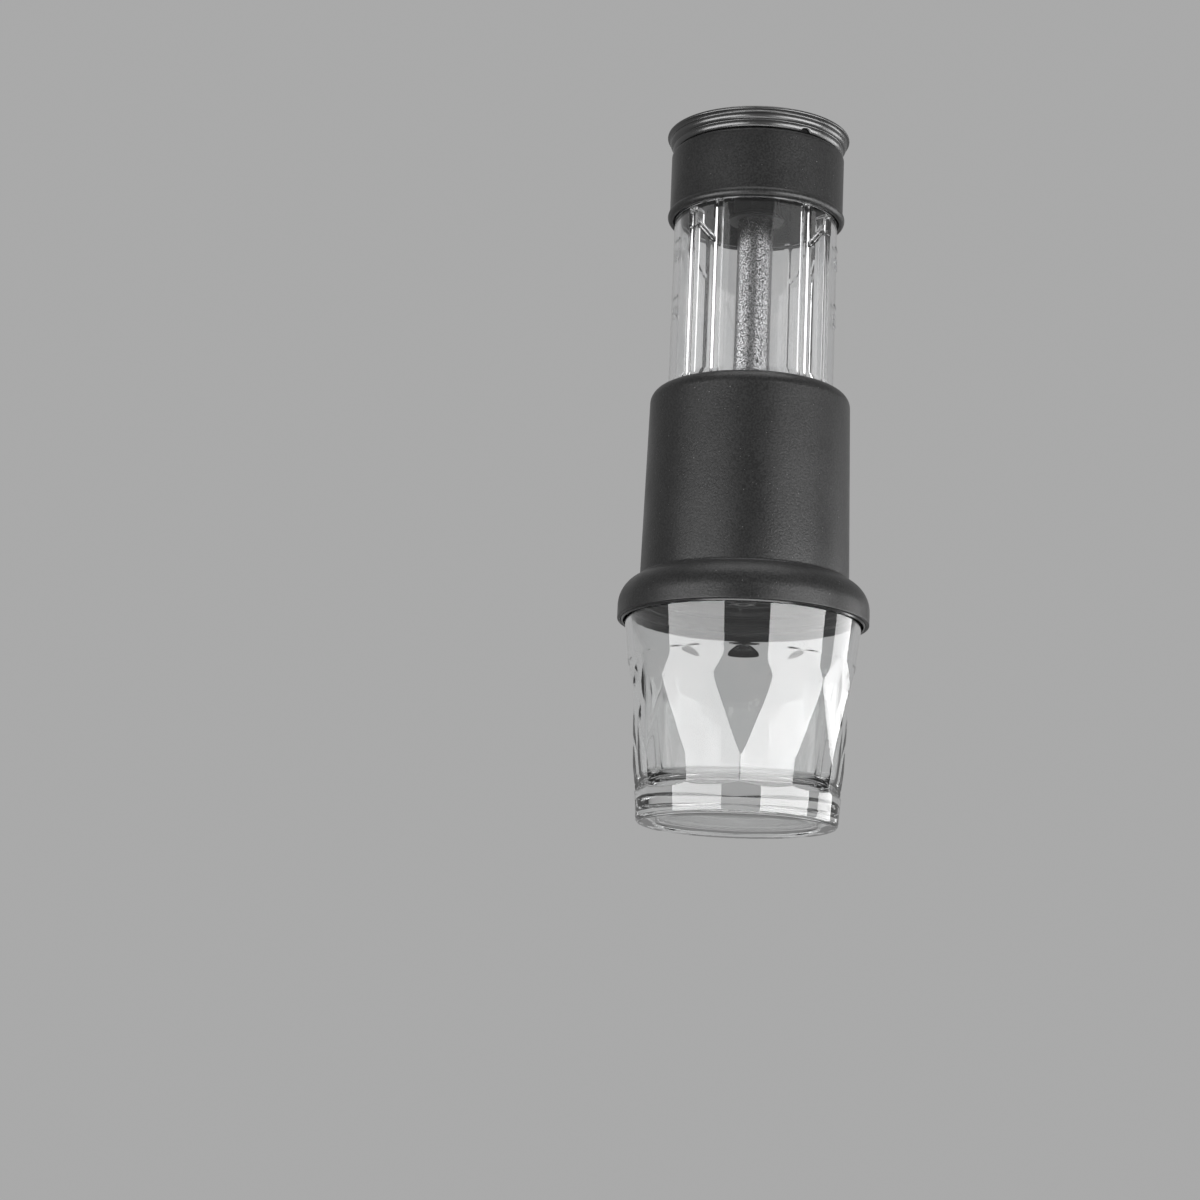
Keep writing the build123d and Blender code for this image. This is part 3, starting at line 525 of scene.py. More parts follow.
def cup_outer_radius(z, angle):
    """Outside of the faceted cup at a height and an angle from the middle of a kite, within
    half a pitch: the smooth least of the cone, the kite, and the flat half a pitch away."""
    on_kite = (z > KITE_FOOT - 0.5) & (z < WAIST + ARCH_RISE + 0.5)
    kite = np.where(on_kite, kite_distance(z), ABSENT) / np.cos(angle)
    wedge = np.where(z < WAIST, wedge_distance(z), ABSENT) / np.cos(HALF_PITCH - np.abs(angle))
    return smallest(cone_radius(z), kite, wedge)


def facet_boundary(z):
    """Angle from the middle of a kite to its edge at each height: where the kite meets the cone
    above the waist, and the flat beside it below. Elsewhere, half of half a pitch."""
    kite = kite_distance(z)
    on_cone = np.arccos(np.clip(kite / cone_radius(z), -1, 1))
    ratio = np.clip(kite / wedge_distance(z), 0.2, 5)
    on_wedge = np.arctan2(ratio - np.cos(HALF_PITCH), np.sin(HALF_PITCH))
    edge = np.where(z > WAIST, on_cone, HALF_PITCH - np.clip(HALF_PITCH - on_wedge, 0, HALF_PITCH))
    on_kite = (z >= KITE_FOOT) & (z <= WAIST + ARCH_RISE)
    return np.where(on_kite, np.clip(edge, 0, HALF_PITCH), HALF_PITCH / 2)


def eased(count, endpoint=True):
    """Numbers from 0 to 1, closer together at both ends: half of 1 - cos(pi t)."""
    return 0.5 - 0.5 * np.cos(np.pi * np.linspace(0, 1, count, endpoint=endpoint))


def cup_heights():
    """Rows of the cup's outside: close together where facets start, meet and end."""
    marks = [FOOT_ROUND_TOP, FOOT_RING - 1.6, FOOT_RING, KITE_FOOT, WAIST, WAIST + ARCH_RISE,
             CUP_HEIGHT - 0.8]
    counts = [8, 10, 14, 26, 26, 14]
    rows = [start + (end - start) * eased(count, endpoint=False)
            for start, end, count in zip(marks[:-1], marks[1:], counts)]
    return np.concatenate(rows + [[marks[-1]]])


def cup_outer_grid():
    """Grid of (height, angle) points whose columns run along the edges of the facets."""
    z = cup_heights()[:, None]
    edge, spread = facet_boundary(z), eased(9)
    right = np.concatenate([edge * spread, edge + (HALF_PITCH - edge) * spread[1:]], 1)
    sector = np.concatenate([-right[:, :0:-1], right[:, :-1]], 1)
    radius = cup_outer_radius(np.broadcast_to(z, sector.shape), sector)
    angles = np.concatenate([sector + k * 2 * HALF_PITCH for k in range(FACETS)], 1) + FACET_TURN
    return round_points(np.tile(radius, (1, FACETS)), angles, z)


def make_cup():
    """Whole cup in one grid: hollow under the base, foot, facets, rim, inner wall, inner floor."""
    outer = cup_outer_grid()
    foot_angles, rim_angles = (np.arctan2(row[:, 1], row[:, 0]) for row in (outer[0], outer[-1]))
    base = rounded([(0, HOLLOW_RISE, 0), (HOLLOW_RADIUS, HOLLOW_RISE, 0.5), (HOLLOW_EDGE, 0, 0.5),
                    (cone_radius(0.0), 0, 1.4), (cone_radius(3.0), 3.0, 0)], closed=False)
    base = base[base[:, 1] < FOOT_ROUND_TOP - 0.04]
    half_rim, round_middle = RIM_WALL / 2, CUP_HEIGHT - RIM_ROUND
    sweep = np.linspace(-0.1, np.pi + 0.1, 14)[1:-1]
    rim = np.stack([CUP_RIM - half_rim + half_rim * np.cos(sweep),
                    round_middle + RIM_ROUND * np.sin(sweep)], 1)
    inside = rounded([(CUP_RIM - RIM_WALL, round_middle - 0.3, 0),
                      (cone_radius(WAIST) - WAIST_WALL, WAIST, 30.0),
                      (cone_radius(FLOOR_EDGE) - FOOT_WALL, FLOOR_EDGE, 5.0), (0, FLOOR_MIDDLE, 0)],
                     closed=False, steps=12)
    fill = np.linspace(0, 1, 12)[1:-1, None]
    inside = np.concatenate([inside[:1], inside[0] + (inside[1] - inside[0]) * fill, inside[1:]])
    rows = [ring_rows(base, foot_angles), outer, ring_rows(rim, rim_angles), ring_rows(inside, rim_angles)]
    cup = surface("glass_cup_body", np.concatenate(rows))
    finish_piece(cup, GLASS, "cup", "clear_glass", "glass_cup")


# ------------------------------------------------------------------ body
BODY_TOP = high("body_shell")
LIP = low("inner_ring")
SHELL_LIP = low("body_shell")
FLANGE = reach("body_shell")
FLANGE_TOP = LIP + 12.9
FLANGE_ROUND = 8.4           # height of the flange's round shoulder
BODY_FOOT, BODY_SHOULDER = 30.8, 29.8    # radii of the side at its foot and its shoulder
SHOULDER_ROUND = 4.0
RECESS_RADIUS = 35.98        # recess of the flange that holds the inner ring
HOLDER_BORE, CHAMBER_BORE, CHAMBER_LOW = 28.4, 26.9, 96.5
TANK_RADIUS = reach("water_tank")
NECK_BORE, NECK_DEPTH, NECK_SLOPE = TANK_RADIUS + 0.3, 8.2, 2.0


def make_body_shell():
    """Matte shell: lip, flange with a round shoulder, cove, slightly tapered side, round top."""
    shoulder, cove = FLANGE_TOP - FLANGE_ROUND, BODY_FOOT + 0.4
    flange = arc_points((FLANGE, shoulder), (cove, FLANGE_TOP), (0, 1), 18)[:-1]
    hollow = arc_points((BODY_FOOT, FLANGE_TOP + 0.8), (cove, FLANGE_TOP), (0, -1), 8)[::-1]
    side_low = np.array([BODY_FOOT, FLANGE_TOP + 1.0])
    side_high = np.array([BODY_SHOULDER, BODY_TOP - SHOULDER_ROUND - 0.2])
    side = side_low + (side_high - side_low) * np.linspace(0, 1, 10)[:, None]
    top = arc_points((BODY_SHOULDER, BODY_TOP - SHOULDER_ROUND),
                     (BODY_SHOULDER - SHOULDER_ROUND, BODY_TOP), (-0.018, 1), 12)
    lip = rounded([(RECESS_RADIUS, LIP + 5.0, 0), (RECESS_RADIUS, SHELL_LIP, 0.15),
                   (FLANGE, SHELL_LIP, 0.35), (FLANGE, shoulder - 0.4, 0)], closed=False)
    inside = rounded([(BODY_SHOULDER - SHOULDER_ROUND - 0.1, BODY_TOP, 0), (NECK_BORE, BODY_TOP, 0.25),
                      (NECK_BORE, BODY_TOP - NECK_DEPTH, 0.2),
                      (CHAMBER_BORE, BODY_TOP - NECK_DEPTH - NECK_SLOPE, 0.3),
                      (CHAMBER_BORE, CHAMBER_LOW, 0.2), (HOLDER_BORE, CHAMBER_LOW, 0.2),
                      (HOLDER_BORE, LIP + 5.8, 0.2), (RECESS_RADIUS, LIP + 5.8, 0)], closed=False)
    outline = np.concatenate([lip, flange, hollow, side, top, inside])
    shell = lathe("body_shell_skin", outline, 224)
    finish_piece(shell, MATTE, "maker", "matte_black", "body_shell")


def make_inner_ring():
    """Gloss lining of the flange: it shows as the thin shiny lip, a slope under the edge of the
    shell, and as the roof around the holder."""
    outer, top, roof = reach("inner_ring"), high("inner_ring"), LIP + 4.1
    bore, roof_bore = outer - 0.6, 28.5
    outline = rounded([(bore, LIP, 0.15), (outer - 0.28, LIP, 0.06), (outer, LIP + 0.4, 0.06),
                       (outer, top, 0.1), (roof_bore, top, 0.1), (roof_bore, roof, 0.3), (bore, roof, 0.3)])
    ring = lathe("inner_ring_skin", outline, 192)
    finish_piece(ring, GLOSS, "maker", "gloss_black", "inner_ring")


def make_cup_seat():
    """Soft flat ring with rounded lower edges that the rim of the cup meets."""
    outer, bottom, top = reach("cup_seat"), low("cup_seat"), high("cup_seat")
    inner = outer - 3.6
    outline = rounded([(inner, bottom, 0.4), (outer, bottom, 0.3), (outer, top, 0.1), (inner, top, 0.1)])
    seat = lathe("cup_seat_skin", outline, 160)
    finish_piece(seat, RUBBER, "maker", "black_rubber", "cup_seat")


# ------------------------------------------------------------------ underside
RIB_FACE = low("filter_holder")
RIB_ROOT = RIB_FACE + 2.5
RING_RIBS, RING_RIB_HALF = (21.2, 12.5), 0.65    # radii of their middles, half their width
DRAIN_RADIUS = 1.6
SPOKES, SPOKE_WIDTH, SPOKE_HEIGHT = 8, 1.2, 2.9


def make_holder():
    """Filter holder: cup with an outer rim, two ring ribs and two sets of eight spokes below."""
    radius, top = reach("filter_holder"), high("filter_holder")
    inner = radius - 2.1
    ribs = []
    for middle in RING_RIBS:
        outside, inside = middle + RING_RIB_HALF, middle - RING_RIB_HALF
        ribs += [(outside, RIB_ROOT, 0.4), (outside, RIB_FACE, 0.3), (inside, RIB_FACE, 0.3),
                 (inside, RIB_ROOT, 0.4)]
    outline = rounded([(radius, RIB_FACE, 0.4), (radius, top, 0.2), (inner, top, 0.2),
                       (inner, RIB_ROOT + 2.0, 0.4), (DRAIN_RADIUS, RIB_ROOT + 1.2, 0.3),
                       (DRAIN_RADIUS, RIB_ROOT, 0.2)]
                      + ribs[::-1] + [(inner, RIB_ROOT, 0.5), (inner + 0.5, RIB_FACE, 0.4)])
    parts = [closed_ring(outline, 192)]
    for start, end, shift in ((12.9, 20.8, 0.0), (4.4, 12.1, 0.5)):
        parts += bars_round(SPOKES, end - start, SPOKE_WIDTH, SPOKE_HEIGHT, 0.25, inner=start,
                            middle=RIB_FACE + 1.5, shift=shift)
    holder = joined("filter_holder_skin", parts)
    finish_piece(holder, GLOSS, "holder", "gloss_black", "filter_holder")


def make_spout():
    """Outlet nozzle: a chamfered tube in the middle of the underside."""
    outer, bottom, top = reach("outlet_spout"), low("outlet_spout"), high("outlet_spout")
    bore, chamfer = 1.5, 1.2
    outline = rounded([(bore, bottom, 0.3), (outer - chamfer, bottom, 0.4), (outer, bottom + chamfer, 0.4),
                       (outer, top, 0.1), (bore, top, 0.1)])
    spout = lathe("outlet_spout_skin", outline, 96)
    finish_piece(spout, GLOSS, "holder", "gloss_black", "outlet_spout")


# ------------------------------------------------------------------ tank
TANK_TOP, TANK_FOOT = high("water_tank"), low("water_tank")
TANK_BORE = TANK_RADIUS - 1.8
TANK_FLOOR = BODY_TOP - 2.2
FLOOR_THICK, FLOOR_HOLE = 2.0, 8.6
TANK_RIM_ROUND = 0.45
PAIR_TURN = 3.0              # degrees: turn of all the ribs about the axis
PAIR_ANGLE = 46.25           # degrees from the front or back to the middle of a pair
PAIR_HALF = 11.95            # degrees from the middle of a pair to each of its ribs
RIB_DEPTH, RIB_HALF = 2.0, 1.0
LUG_DEPTH, LUG_HALF, LUG_HEIGHT = 3.0, 1.55, 5.4
SHORT_DROP = 1.0             # top of the short ribs and their lugs, below the mouth
WEB_DROP, WEB_FALL = 3.2, 10.1           # web at the short rib below the mouth, and its fall from there
WEB_DEPTH, WEB_HALF = 0.7, 0.85


def step_up(x, start, end):
    """Smooth step from 0 at start to 1 at end."""
    t = np.clip((x - start) / (end - start), 0, 1)
    return t * t * (3 - 2 * t)


def bump_across(distance, half, flank):
    """1 within half of the middle, falling to 0 over one flank about there."""
    return 1 - step_up(np.abs(distance), half - flank / 2, half + flank / 2)


def degrees_past(angle, middle):
    """How far an angle lies past another, in degrees from -180 to 180."""
    return (angle - middle + 180) % 360 - 180


def mm_past(angle, middle):
    """How far an angle lies past another along the bore of the tank, in mm."""
    return np.radians(degrees_past(angle, middle)) * TANK_BORE


def rib_angles():
    """Angles from the front, in degrees, of the tall and the short rib of each pair."""
    pairs = []
    for back in (0, 180):
        for side in (-1, 1):
            middle = back + PAIR_TURN + side * PAIR_ANGLE
            pairs.append((middle - side * PAIR_HALF, middle + side * PAIR_HALF))
    return pairs


def tank_columns():
    """Column angles: even spacing, finer under the sloping webs, finest across every rib."""
    even = np.arange(0, 360, 0.5)
    keep = even % 3 == 0
    for tall, short in rib_angles():
        keep |= np.abs(degrees_past(even, (tall + short) / 2)) < PAIR_HALF
    half = np.array([0.4, 0.75, 0.9, 1.05, 1.2, 1.4, 1.65, 1.8, 1.95, 2.1, 2.6])
    across = np.concatenate([-half[::-1], [0.0], half])
    extra = []
    for angle in np.ravel(rib_angles()):
        keep &= np.abs(mm_past(even, angle)) > 2.9
        extra.append(angle + np.degrees(across / TANK_BORE))
    return np.sort(np.concatenate([even[keep]] + extra) % 360)


def tank_inner_radius(angle, z):
    """Bore less the ribs, the lugs on the short ribs and the sloping webs between each pair."""
    depth = np.zeros(np.broadcast(angle, z).shape)
    short_top = TANK_TOP - SHORT_DROP
    for tall, short in rib_angles():
        for rib, top in ((tall, TANK_TOP), (short, short_top)):
            ridge = bump_across(mm_past(angle, rib), RIB_HALF, 0.5) * (1 - step_up(z, top - 0.5, top))
            depth = np.maximum(depth, RIB_DEPTH * ridge)
        lug = bump_across(mm_past(angle, short), LUG_HALF, 0.6)
        lug = lug * bump_across(z - short_top + LUG_HEIGHT / 2, LUG_HEIGHT / 2, 0.9)
        depth = np.maximum(depth, LUG_DEPTH * lug)
        along = np.clip(degrees_past(angle, tall) / degrees_past(short, tall), -0.2, 1.2)
        between = (along > -0.02) & (along < 1.02)
        web_z = TANK_TOP - WEB_DROP - WEB_FALL * (1 - along)
        depth = np.maximum(depth, WEB_DEPTH * between * bump_across(z - web_z, WEB_HALF, 0.45))
    return TANK_BORE - depth


def make_tank():
    """Clear tank as one grid: outer wall, rim, ribbed inner wall, floor, hole and skirt."""
    columns = tank_columns()
    angle = np.radians(columns - 90)
    outer_z = np.concatenate([[TANK_FOOT + 0.3, TANK_FOOT + 0.8],
                              np.linspace(TANK_FLOOR, TANK_TOP - 0.8, 12)])
    outer = np.stack([np.full(len(outer_z), TANK_RADIUS), outer_z], 1)
    sweep = np.linspace(0, np.pi / 2, 5)
    rim_out = np.stack([TANK_RADIUS - TANK_RIM_ROUND * (1 - np.cos(sweep)),
                        TANK_TOP - TANK_RIM_ROUND * (1 - np.sin(sweep))], 1)
    inner_z = np.concatenate([TANK_TOP - np.linspace(0.5, 16.5, 101),
                              np.linspace(TANK_TOP - 18, TANK_FLOOR + 1.2, 11)])[:, None]
    inner_radius = tank_inner_radius(columns, inner_z)
    inner = round_points(inner_radius, angle, inner_z)
    set_back, drop = np.array([0.4, 0.13, 0.0])[:, None], np.array([0.0, 0.13, 0.4])[:, None]
    rim_in = round_points(inner_radius[0] + set_back, angle, TANK_TOP - drop)
    floor_low = TANK_FLOOR - FLOOR_THICK
    floor = rounded([(TANK_BORE - 3.4, TANK_FLOOR, 0), (FLOOR_HOLE, TANK_FLOOR, 0.3),
                     (FLOOR_HOLE, floor_low, 0.2), (TANK_BORE, floor_low, 0.5),
                     (TANK_BORE, TANK_FOOT, 0.3), (TANK_RADIUS, TANK_FOOT, 0)], closed=False)
    floor = floor[:-1]       # without its sharp last corner the skirt's outer edge is bevelled
    rows = [ring_rows(outer, angle), ring_rows(rim_out, angle), rim_in, inner, ring_rows(floor, angle)]
    tank = surface("water_tank_wall", np.concatenate(rows), wrap_rows=True)
    finish_piece(tank, TANK, "maker", "clear_tank", "water_tank")


MARK_ANGLE = 76.6            # degrees either side of the middle of the rib pattern
MARK_RAISED = 0.3
NUMBER_SIZE = 5.2
LEVELS = ((13.7, "80"), (31.7, "50"))    # middle of each number below the mouth of the tank
LINE_ABOVE = 4.9             # line above the middle of its number
LINE_LENGTH, LINE_WIDTH = 4.4, 0.6


def number_mesh(text):
    """Points in mm and faces of a number drawn flat about the origin, MARK_RAISED thick."""
    curve = bpy.data.curves.new("level_text", "FONT")
    curve.body = text
    curve.size = NUMBER_SIZE * MM
    curve.align_x, curve.align_y = "CENTER", "CENTER"
    curve.extrude = MARK_RAISED / 2 * MM
    curve.resolution_u = 3
    drawn = bpy.data.objects.new("level_text", curve)
    bpy.context.scene.collection.objects.link(drawn)
    bpy.context.view_layer.update()
    shape = bpy.data.meshes.new_from_object(drawn.evaluated_get(bpy.context.evaluated_depsgraph_get()))
    bpy.data.objects.remove(drawn)
    points = np.zeros(len(shape.vertices) * 3)
    shape.vertices.foreach_get("co", points)
    faces = [list(polygon.vertices) for polygon in shape.polygons]
    bpy.data.meshes.remove(shape)
    return points.reshape(-1, 3) / MM, faces


def make_level_marks():
    """Raised marks on both sides of the tank: a short line over a plain number. A flat point
    (x, y, z) is bent round the wall to the angle x / radius and the radius of the wall plus z."""
    line, line_faces = bar(LINE_LENGTH, LINE_WIDTH, MARK_RAISED, 0.15)
    line_mesh = (line - (LINE_LENGTH / 2, 0, 0), line_faces.tolist())
    points, faces, offset = [], [], 0
    for side in (-1, 1):
        middle = np.radians(PAIR_TURN + side * MARK_ANGLE - 90)
        for drop, text in LEVELS:
            for (flat, flat_faces), up in ((number_mesh(text), 0.0), (line_mesh, LINE_ABOVE)):
                out = TANK_RADIUS + 0.4 * MARK_RAISED + flat[:, 2]
                points.append(round_points(out, middle + flat[:, 0] / TANK_RADIUS,
                                           flat[:, 1] + up + TANK_TOP - drop))
                faces += [[index + offset for index in face] for face in flat_faces]
                offset += len(flat)
    marks = tidy(mesh_object("level_marks", np.concatenate(points), faces, smooth=False))
    finish_piece(marks, TANK, "maker", "clear_tank")


# ------------------------------------------------------------------ pump parts in view
ROD_HOLE = 5.45              # bore of the wiper and the hub, which go round the rod
COIL_STEPS, WIRE_SIDES = 40, 12          # of a spring: steps per turn, sides of the wire


def make_rod():
    """Bead-blasted tube with slightly broken edges."""
    radius, bottom, top = reach("piston_rod"), low("piston_rod"), high("piston_rod")
    bore = radius - 1.0
    outline = rounded([(bore, bottom, 0.15), (radius, bottom, 0.2), (radius, top, 0.2), (bore, top, 0.15)])
    rod = lathe("piston_rod_skin", outline, 96)
    finish_piece(rod, STEEL, "press", "satin_steel", "piston_rod")


def make_wiper():
    """Pale wiper ring at the foot of the rod, with a rounded lip."""
    outer, bottom, top = reach("rod_wiper"), low("rod_wiper"), high("rod_wiper")
    outline = rounded([(ROD_HOLE, bottom, 0.05), (outer, bottom, 0.05), (outer, top, 0.4),
                       (ROD_HOLE, top, 0.2)])
    wiper = lathe("rod_wiper_skin", outline, 96)
    finish_piece(wiper, PALE_RUBBER, "maker", "pale_rubber", "rod_wiper")


def helix_tube(radius, wire, turns, bottom, top):
    """Tube of wire along a helix: centre (R cos a, R sin a, z rising evenly with a), section in
    the plane of the outward and upright directions, shrunk to a point at both ends."""
    count = int(turns * COIL_STEPS) + 1
    a = np.linspace(0, turns * TURN, count)[:, None]
    z = np.linspace(bottom + wire / 2, top - wire / 2, count)[:, None]
    ring = np.linspace(0, TURN, WIRE_SIDES, endpoint=False)
    size = np.full((count, 1), wire / 2)
    size[[0, -1]] = 0.0
    return round_points(radius + size * np.cos(ring), a, z + size * np.sin(ring))


def make_springs():
    """Both pump springs, each given a mesh of its own."""
    bottom, top = low("return_spring"), high("return_spring")
    spring = surface("return_spring_coil", helix_tube(4.4, 1.0, 5.5, bottom, top))
    finish_piece(spring, WIRE, "maker", "spring_steel", "return_spring")
    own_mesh(spring)
    bottom, top = low("outlet_spring"), high("outlet_spring")
    small = surface("outlet_spring_coil", helix_tube(1.9, 0.4, 3.0, bottom, top))
    finish_piece(small, WIRE, "maker", "spring_steel", "outlet_spring")
    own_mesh(small)


# ------------------------------------------------------------------ press and lid
COLLAR_LIP, COLLAR_TOP = low("press_collar"), high("press_collar")
COLLAR = TANK_RADIUS + 1.5
COLLAR_BORE, COLLAR_MOUTH = COLLAR - 1.1, 24.3       # bore, and the narrower opening at the top
COLLAR_ROUND = 1.3


def make_collar():
    """Matte sleeve: rounded bead at the lip, straight side, round top edge."""
    bead = arc_points((COLLAR - 0.3, COLLAR_LIP), (COLLAR, COLLAR_LIP + 2.6), (0.9, 0.42), 14)
    side_z = np.linspace(COLLAR_LIP + 2.75, COLLAR_TOP - COLLAR_ROUND - 0.3, 6)
    side = np.stack([np.full(len(side_z), COLLAR), side_z], 1)
    top = arc_points((COLLAR, COLLAR_TOP - COLLAR_ROUND), (COLLAR - COLLAR_ROUND, COLLAR_TOP), (0, 1), 8)
    ledge = COLLAR_TOP - 0.8
    inside = rounded([(COLLAR - COLLAR_ROUND - 0.1, COLLAR_TOP, 0), (COLLAR_MOUTH, COLLAR_TOP, 0.15),
                      (COLLAR_MOUTH, ledge, 0.1), (COLLAR_BORE, ledge, 0.1),
                      (COLLAR_BORE, COLLAR_LIP, 0.25), (COLLAR - 0.35, COLLAR_LIP, 0)], closed=False)
    collar = lathe("press_collar_skin", np.concatenate([bead, side, top, inside]), 192)
    finish_piece(collar, MATTE, "press", "matte_black", "press_collar")


HUB_RADIUS, HUB_FOOT_RADIUS, HUB_FOOT = 6.8, 8.4, 1.2
SCREW_HEAD_RADIUS, SCREW_HOLE_RADIUS = 4.6, 2.2
SCREW_SEAT, ROD_SEAT = 4.3, 6.1          # below the tops of the arms
ARMS, ARM_WIDTH, ARM_HEIGHT = 4, 4.0, 3.0


def make_hub():
    """Gloss hub, its foot disc, four rounded arms and the ring at the top of the collar."""
    bottom, ring_top, ring_outer = low("press_hub"), high("press_hub"), reach("press_hub")
    ring_inner, arm_low = ring_outer - 2.2, ring_top - 5.4
    arm_top, foot_top = arm_low + ARM_HEIGHT, bottom + HUB_FOOT
    hub = rounded([(ROD_HOLE, bottom, 0.1), (HUB_FOOT_RADIUS, bottom, 0.5), (HUB_FOOT_RADIUS, foot_top, 0.4),
                   (HUB_RADIUS, foot_top, 0.5), (HUB_RADIUS, arm_top, 0.4), (SCREW_HEAD_RADIUS, arm_top, 0.2),
                   (SCREW_HEAD_RADIUS, arm_top - SCREW_SEAT, 0.2),
                   (SCREW_HOLE_RADIUS, arm_top - SCREW_SEAT, 0.1),
                   (SCREW_HOLE_RADIUS, arm_top - ROD_SEAT, 0.1), (ROD_HOLE, arm_top - ROD_SEAT, 0.1)])
    ring = rounded([(ring_inner, arm_low, 0.3), (ring_outer, arm_low, 0.2), (ring_outer, ring_top, 0.1),
                    (ring_inner, ring_top, 0.2)])
    start, end = HUB_RADIUS - 0.8, ring_inner + 0.8
    parts = [closed_ring(hub, 144), closed_ring(ring, 144)]
    parts += bars_round(ARMS, end - start, ARM_WIDTH, ARM_HEIGHT, 0.4, inner=start,
                        middle=arm_low + ARM_HEIGHT / 2, shift=0.5)
    finish_piece(joined("press_hub_skin", parts), HUB_BLACK, "press", "gloss_black", "press_hub")


LID_TOP, LID_FOOT = high("press_lid"), COLLAR_TOP + 0.15
LID_SEAM, LID_RIM = 24.8, 27.6           # radii of the lid at its foot and at its rim
PAD_RADIUS, PAD_DEPTH = 23.6, 0.9
NOTCH_ANGLE = np.radians(-90 + 30)
NOTCH_HALF, NOTCH_RISE, NOTCH_FADE = 1.5, 1.0, 1.6


def make_lid():
    """Gloss lid: skirt, drawn plain without a thread, seam, two convex flutes flaring to a thin rim, recess
    for the pad.
    A small notch, a round dip of the foot edge, is cut 30 degrees right of the front."""
    def on(out, up):
        """Point at a share of the flare outwards and of the height upwards."""
        return (LID_SEAM + out * (LID_RIM - LID_SEAM), LID_FOOT + up * (LID_TOP - LID_FOOT))

    rim_foot, floor = (LID_RIM - 0.1, LID_TOP - 0.9), LID_TOP - PAD_DEPTH
    lower = three_point_arc(on(0, 0), on(0.34, 0.17), on(0.32, 0.38), 12)
    upper = three_point_arc(on(0.32, 0.38), on(0.66, 0.53), on(0.62, 0.72), 12)
    cove = three_point_arc(on(0.62, 0.72), on(0.74, 0.80), rim_foot, 10)
    rim = three_point_arc(rim_foot, (LID_RIM, LID_TOP - 0.5), (LID_RIM - 0.5, LID_TOP), 9)
    top = rounded([(LID_RIM - 0.6, LID_TOP, 0), (PAD_RADIUS + 0.1, LID_TOP, 0.15),
                   (PAD_RADIUS + 0.1, floor, 0.1), (0, floor, 0)], closed=False)
    skirt, skirt_low, under = reach("press_hub") - 2.5, COLLAR_TOP - 2.7, floor - 1.7
    bore, seam = skirt - 1.8, LID_SEAM - 0.35
    below = rounded([(0, under, 0), (bore, under, 1.0), (bore, skirt_low, 0.3), (skirt, skirt_low, 0.3),
                     (skirt, COLLAR_TOP, 0.2), (seam, COLLAR_TOP, 0.05), (seam, LID_FOOT, 0.05),
                     (LID_SEAM, LID_FOOT, 0)], closed=False)
    outline = np.concatenate([below[:-1], lower, upper[1:], cove[1:], rim[1:], top])
    angle = even_turn(288)
    points = ring_rows(outline, angle)
    past = ((angle - NOTCH_ANGLE + np.pi) % TURN - np.pi) * LID_SEAM
    dip = NOTCH_RISE * np.sqrt(np.clip(1 - (past / NOTCH_HALF) ** 2, 0, 1))
    above = outline[:, 1] - LID_FOOT
    near_foot = (outline[:, 0] > LID_SEAM - 0.2) & (above < NOTCH_FADE)
    points[..., 2] += (np.clip(1 - above / NOTCH_FADE, 0, 1) * near_foot)[:, None] * dip
    lid = surface("press_lid_skin", points)
    finish_piece(lid, SATIN_BLACK, "lid", "gloss_black", "press_lid")


GROOVES, GROOVE_DEPTH, GROOVE_WIDTH = (9.0, 18.0), 0.16, 0.28
PAD_DOME, PAD_EDGE_DROP = 0.5, 0.35


def make_pad():
    """Palm pad: shallow dome with a rounded edge and two fine concentric grooves."""
    bottom, top = LID_TOP - PAD_DEPTH, high("lid_pad")
    crown_end = PAD_RADIUS - 0.6
    edge_radii = crown_end + 0.5 * np.sin(np.linspace(0, np.pi / 2, 7))[1:]
    radius = np.concatenate([np.linspace(0, crown_end, 60), edge_radii])
    edge = np.clip((radius - crown_end) / 0.5, 0, 0.999)
    dome = top - PAD_DOME * (radius / PAD_RADIUS) ** 2 - PAD_EDGE_DROP * (1 - np.sqrt(1 - edge ** 2))
    for groove in GROOVES:
        dome = dome - GROOVE_DEPTH * np.exp(-((radius - groove) / GROOVE_WIDTH) ** 2)
    foot = [(0, bottom), (PAD_RADIUS - 0.4, bottom), (PAD_RADIUS - 0.1, bottom + 0.1)]
    outline = np.concatenate([foot, np.stack([radius, dome], 1)[::-1]])
    pad = lathe("lid_pad_skin", outline, 160, closed=False)
    finish_piece(pad, MATTE_PAD, "lid", "matte_black", "lid_pad")


# ------------------------------------------------------------------ all other nodes keep their CAD shape
def paint_cad_nodes():
    """Gives each CAD node the material of its slot."""
    slots = {entry["node"]: entry["material_slot"] for entry in frame["record"]["subparts"]}
    for name, obj in frame["nodes"].items():
        obj.data.materials.clear()
        obj.data.materials.append(SLOT_MATERIAL[slots[name]])


# ------------------------------------------------------------------ stage, light and camera
FLOOR_RADIUS, FLOOR_SIDES, FLOOR_DROP = 310.0, 96, 0.02
FLOOR_SOLID, FLOOR_GONE = 0.11, 0.30     # metres from the middle


def stage_material(name, colour):
    """Pale matt floor that is clear from below and fades out with distance from the middle."""
    material, tree, shader, place = new_material(
        name, {"Base Color": colour, "Roughness": 0.9, "Specular IOR Level": 0.1})
    through = tree.nodes.new("ShaderNodeBsdfTransparent").outputs[0]
    below = tree.nodes.new("ShaderNodeNewGeometry").outputs["Backfacing"]
    distance = node(tree, "ShaderNodeVectorMath", {"operation": "LENGTH"}, i0=place).outputs["Value"]
    faded = maths(tree, "MAXIMUM", below, ramp(tree, distance, FLOOR_SOLID, FLOOR_GONE))
    blend = node(tree, "ShaderNodeMixShader", i0=faded, i1=shader.outputs[0], i2=through).outputs[0]
    tree.links.new(blend, tree.nodes["Material Output"].inputs["Surface"])
    return material


